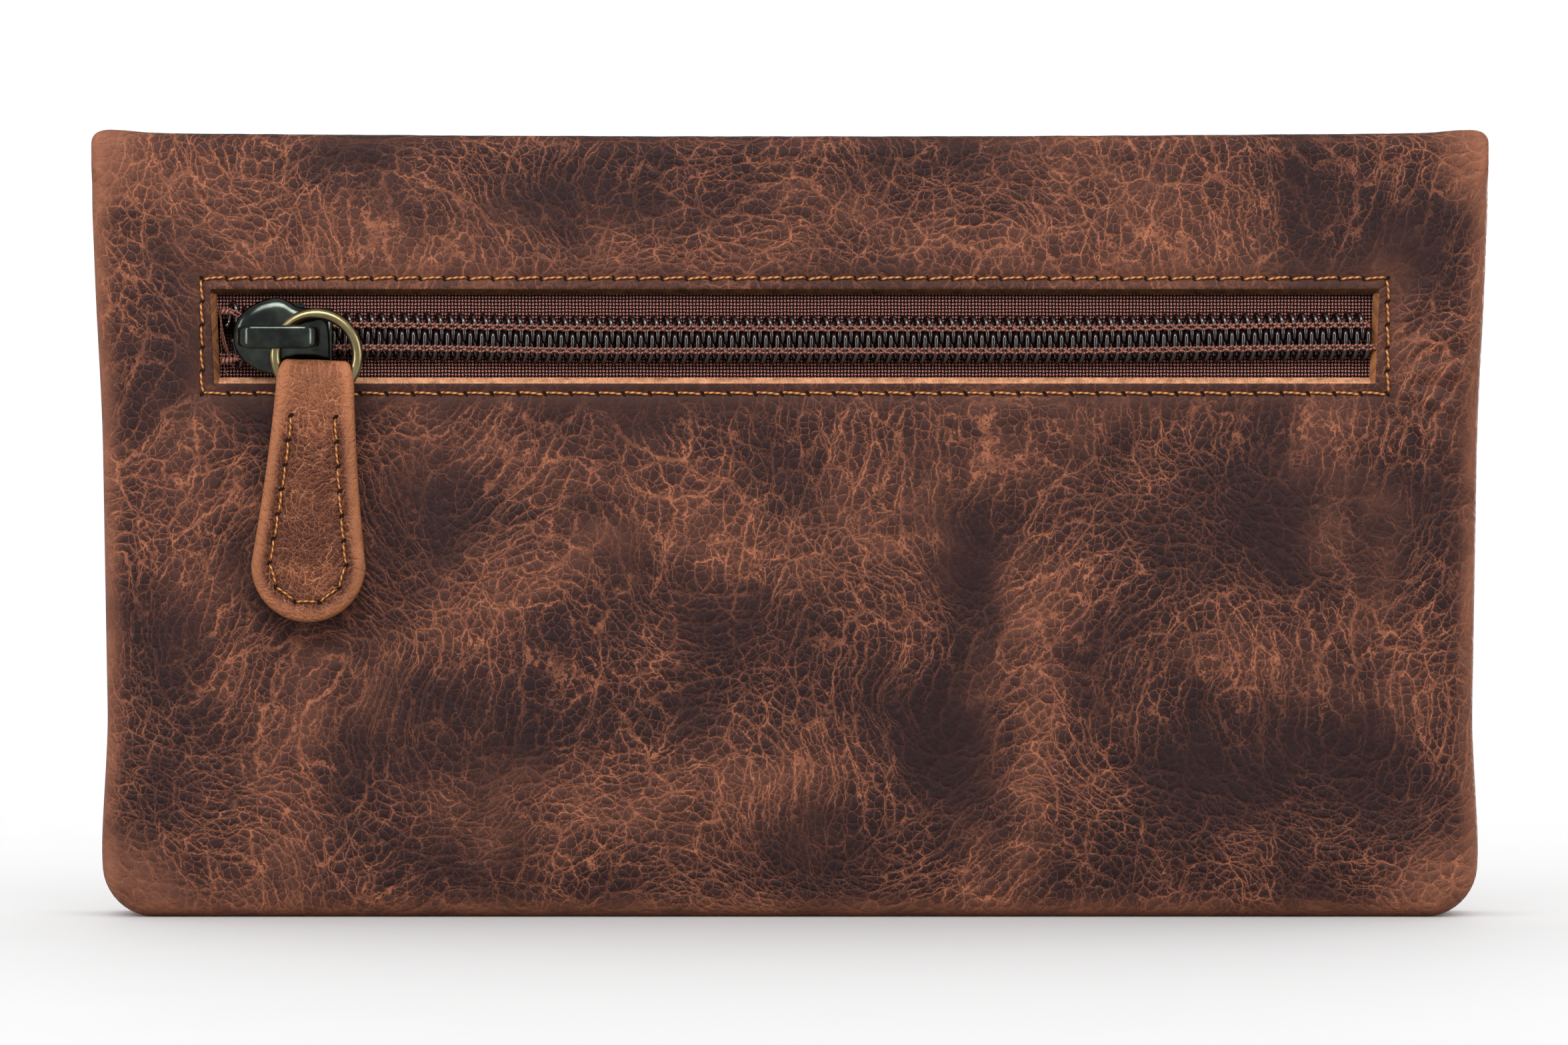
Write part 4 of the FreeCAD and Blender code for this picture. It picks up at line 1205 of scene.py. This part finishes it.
def puller_place(x, y, z):
    """From the puller's own axes, with the ring's centre as origin, to the model's."""
    x, y, z = (np.asarray(v, float) for v in (x, y, z))
    return np.stack([RING_X + x * math.cos(LEAN) + z * math.sin(LEAN), RING_Y + y,
                     RING_Z - x * math.sin(LEAN) + z * math.cos(LEAN)], -1)


def puller_half(z):
    """Half the puller's width at a height below the ring's centre."""
    z = np.asarray(z, float)
    t = np.clip((PULL_FOLD - z) / (PULL_FOLD - ARC_MIDDLE), 0, 1)
    wide = NECK + (END_R - NECK) * (0.25 * t + 0.75 * t ** 1.6)
    return wide - 0.45 * (1 - smooth((PULL_TOP - z) / 2.2))


def puller_edge(x, z):
    """Distance from the puller's outline, inwards."""
    below = ARC_MIDDLE - z
    straight = puller_half(z) - np.abs(x)
    return np.where(below > 0, END_R - np.hypot(x, below), straight)


def puller_depth(x, z):
    """How far the outer face sinks: rounded at the rim, grooved under the stitches, padded between."""
    e = puller_edge(x, z)
    rim = 0.95
    round_off = rim * (1 - np.sqrt(np.clip(1 - ((rim - np.clip(e, 0, rim)) / rim) ** 2, 0, 1)))
    low = smooth((-z - 7.0) / 2.5)
    groove = 0.26 * bell(e, STITCH_INSET, 0.5) * low
    hollow = 0.10 * smooth((e - 2.2) / 1.2) * low
    pad = -0.12 * bell(e, 1.2, 0.55) * low
    uneven = 0.06 * wander(np.ravel(x), np.ravel(z), 4.5, 77.0, 2).reshape(np.shape(x))
    return round_off + groove + hollow + pad + uneven


def strip_places(s, x, d):
    """A point of the folded strip: s along it from the fold, negative in front; d below its outer face."""
    run = np.abs(s)
    theta = np.clip(run / BEND_RUN, 0, 1) * QUARTER
    r = PULL_HALF - d
    y = np.where(run < BEND_RUN, r * np.sin(theta), r)
    z = np.where(run < BEND_RUN, PULL_FOLD + r * np.cos(theta), PULL_FOLD - (run - BEND_RUN))
    return puller_place(x, np.where(s < 0, -y, y), z)


def build_puller():
    fine = 1.0
    half_rows = joined(steps(0, BEND_RUN, 0.28 * fine), steps(BEND_RUN, ARC_RUN, 0.34 * fine),
                       ARC_RUN + END_R * np.sin(np.linspace(0, QUARTER, int(30 / fine))))
    rows = np.concatenate([-half_rows[::-1], half_rows[1:]])
    across = np.sin(np.linspace(-1, 1, int(64 / fine) + 1) * QUARTER)
    s, u = np.meshgrid(rows, across, indexing="ij")
    run = np.abs(s)
    z = np.where(run < BEND_RUN, PULL_FOLD + (PULL_HALF - 0.4) * np.cos(np.clip(run / BEND_RUN, 0, 1) * QUARTER),
                 PULL_FOLD - (run - BEND_RUN))
    past = np.clip(run - ARC_RUN, 0, END_R - 1e-4)
    x = u * np.where(run > ARC_RUN, np.sqrt(END_R ** 2 - past ** 2), puller_half(z))
    outer = strip_places(s, x, puller_depth(x, z)).reshape(-1, 3)
    inner = strip_places(s, x * 0.995, np.full_like(x, PULL_THICK)).reshape(-1, 3)
    index = np.arange(s.size).reshape(s.shape)
    low, border = s.size, loop_round(index)
    faces = grid_faces(*s.shape)
    faces += [[low + a, low + d, low + c, low + b] for a, b, c, d in faces]
    faces += band([low + v for v in border], border)
    x, s, z, edge = x.ravel(), s.ravel(), z.ravel(), puller_edge(x, z).ravel()
    masks = hide_masks(x * 3.0 + 40, s * 3.0, np.full(len(x), 30.0), 150.0, [(40, -50, 8, 16), (40, 60, 9, 18)],
                       [(20, -20, 60, -30, 5, 0.6)])
    sewn = bell(edge, 2.4, 0.8) * smooth((-z - 7.0) / 2.5)
    # Lighter round the rim, partly wear and partly a painted highlight on the rounded rim; worn over the fold; darker
    # along the stitch groove.
    worn = np.clip(1.0 - smooth((edge - 0.3) / 1.7), 0, 1) * 0.9 + 0.35 * (1 - smooth((np.abs(s) - 3.0) / 6.0))
    crease, _, light, _ = masks["tone"].T.copy()
    masks["tone"][:, 0] = np.clip(0.55 + 0.45 * crease, 0, 1) * (0.35 + 0.65 * smooth((edge - 0.5) / 1.6))
    masks["tone"][:, 1] = np.clip(worn - 0.3 * sewn, 0, 1)
    masks["tone"][:, 2] = np.clip(light * 0.9 + 0.1 - 0.5 * sewn + 0.35 * (1 - smooth((edge - 1) / 2.0)), 0, 1)
    masks["flow"][:, :2] *= 0.42
    masks = {key: np.concatenate([value, value]) for key, value in masks.items()}
    flat = np.stack([x, s], 1)
    obj = mesh_object("puller_strip", np.concatenate([outer, inner]), faces, PULLER_LEATHER,
                      np.concatenate([flat, flat + (30, 0)]), masks)
    place_piece(obj, "puller", "puller_leather", "puller_leather")


def build_puller_core():
    margin = 0.35
    zs = joined(steps(PULL_TOP - RING_R - WIRE_R, ARC_MIDDLE, 1.0),
                ARC_MIDDLE - END_R * np.sin(np.linspace(0, QUARTER, 16)))
    past = np.clip(ARC_MIDDLE - zs, 0, END_R)
    half = np.maximum(np.where(past > 0, np.sqrt(END_R ** 2 - past ** 2), puller_half(zs)) - margin, 0.02)
    x, z = np.concatenate([-half, half[::-1]]), np.concatenate([zs, zs[::-1]])
    z = np.maximum(z, PULL_END + margin)
    bundle = Bundle()
    bundle.add_stack([puller_place(x * swell, np.full(len(x), y), z)
                      for y, swell in ((-0.74, 1.0), (-0.3, 1.008), (0.3, 1.008), (0.74, 1.0))])
    place_piece(bundle.build("puller_board", RAW_EDGE), "puller", "board", "puller_core")


def build_puller_thread():
    threads, holes = Bundle(), Bundle()
    radius = END_R - STITCH_INSET
    line = [(-float(puller_half(z)) + STITCH_INSET, z) for z in steps(STITCH_TOP, ARC_MIDDLE, 0.5)]
    line += [(radius * -math.cos(a), ARC_MIDDLE - radius * math.sin(a)) for a in np.linspace(0, math.pi, 24)[1:-1]]
    line += [(float(puller_half(z)) - STITCH_INSET, z) for z in steps(ARC_MIDDLE, STITCH_TOP, 0.5)]
    line = np.array(line)
    run = lengths_along(line)
    at = np.linspace(0, run[-1], int(round(run[-1] / 3.0)) + 1)
    stops = np.stack([np.interp(at, run, line[:, axis]) for axis in (0, 1)], 1)
    for face in (-1, 1):
        def lift(flat, height):
            x, z = flat.T
            return puller_place(x, face * (PULL_HALF - puller_depth(x, z) + height), z)

        for i, (start, end) in enumerate(zip(stops, stops[1:])):
            single_stitch(threads, holes, start, end, turned(end - start), lift, 0.14, 0.05, i)
        needle_hole(holes, stops[-1], stops[-1] - stops[-2], lift)
    place_piece(threads.build("puller_thread", THREAD), "puller", "thread", "puller_stitching")
    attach(holes.build("puller_needle_holes", HOLE_SHADE), "puller")


# ---- everything ----
build_back()
build_flap()
build_front()
build_linings()
build_seam_binding()
for word, side in HALVES.items():
    build_tape(word, side)
for word, side in HALVES.items():
    build_coil(word, side)
build_chain_threads()
build_loose_fibres()
build_window_thread()
build_mouth_thread()
build_slider()
build_bridge()
build_ring()
build_puller()
build_puller_core()
build_puller_thread()

for node, material in (("zip_top_stops", STEEL), ("zip_bottom_stop", STEEL), ("body_magnets", NICKEL),
                       ("flap_magnets", NICKEL)):
    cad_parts[node].data.materials.clear()
    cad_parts[node].data.materials.append(material)


# ---- studio ----
def add_object(name, data):
    obj = bpy.data.objects.new(name, data)
    bpy.context.scene.collection.objects.link(obj)
    return obj


def area_light(name, place, aim, size, power, unlit):
    light = bpy.data.lights.new(name, "AREA")
    light.shape = "RECTANGLE"
    light.size, light.size_y = size
    light.energy = power
    obj = add_object(name, light)
    obj.location = place
    obj.rotation_euler = (Vector(aim) - Vector(place)).to_track_quat("-Z", "Y").to_euler()
    obj.light_linking.receiver_collection = unlit


def build_studio():
    n = Nodes("studio_floor")
    paper = n.noise(Value(n, n.new("ShaderNodeTexCoord").outputs["Object"]), 40.0, 2.0)
    color = n.mix(paper, (0.93, 0.93, 0.93, 1), (0.95, 0.95, 0.95, 1))
    floor = bpy.data.meshes.new("floor")
    bm = bmesh.new()
    bmesh.ops.create_circle(bm, cap_ends=True, radius=12.0, segments=96)
    bm.to_mesh(floor)
    bm.free()
    floor.materials.append(n.finish(color, 0.7))
    obj = add_object("floor", floor)
    unlit = bpy.data.collections.new("lit_by_the_sky_only")
    unlit.objects.link(obj)
    unlit.collection_objects[0].light_linking.link_state = "EXCLUDE"
    world = bpy.data.worlds.new("studio")
    bpy.context.scene.world = world
    world.use_nodes = True
    world.node_tree.nodes["Background"].inputs["Color"].default_value = (1, 1, 1, 1)
    world.node_tree.nodes["Background"].inputs["Strength"].default_value = 1.08
    area_light("key_above", (-0.08, -0.62, 0.56), (0, 0, 0.06), (0.6, 0.25), 10.5, unlit)
    area_light("box_left", (-0.75, -0.5, 0.20), (0, 0, 0.05), (0.14, 0.55), 4.6, unlit)
    area_light("box_right", (0.75, -0.5, 0.20), (0, 0, 0.05), (0.14, 0.55), 4.6, unlit)
    area_light("fill_behind", (0.3, 0.8, 0.16), (0, 0, 0.04), (0.6, 0.3), 11.0, unlit)
    camera = bpy.data.cameras.new("camera")
    camera.lens, camera.sensor_width = 220, 36
    camera.clip_end = 50
    tilt = math.radians(2.0)
    distance = 0.196 * camera.lens / camera.sensor_width      # the picture is 0.196 m wide at the panel
    aim = Vector((-0.75 * MM, BACK_Y * MM, 49.5 * MM))
    obj = add_object("camera", camera)
    obj.location = aim + Vector((0, -math.cos(tilt), math.sin(tilt))) * distance
    obj.rotation_euler = (aim - obj.location).to_track_quat("-Z", "Y").to_euler()
    bpy.context.scene.camera = obj
    bpy.context.scene.view_settings.view_transform = "Standard"


build_studio()
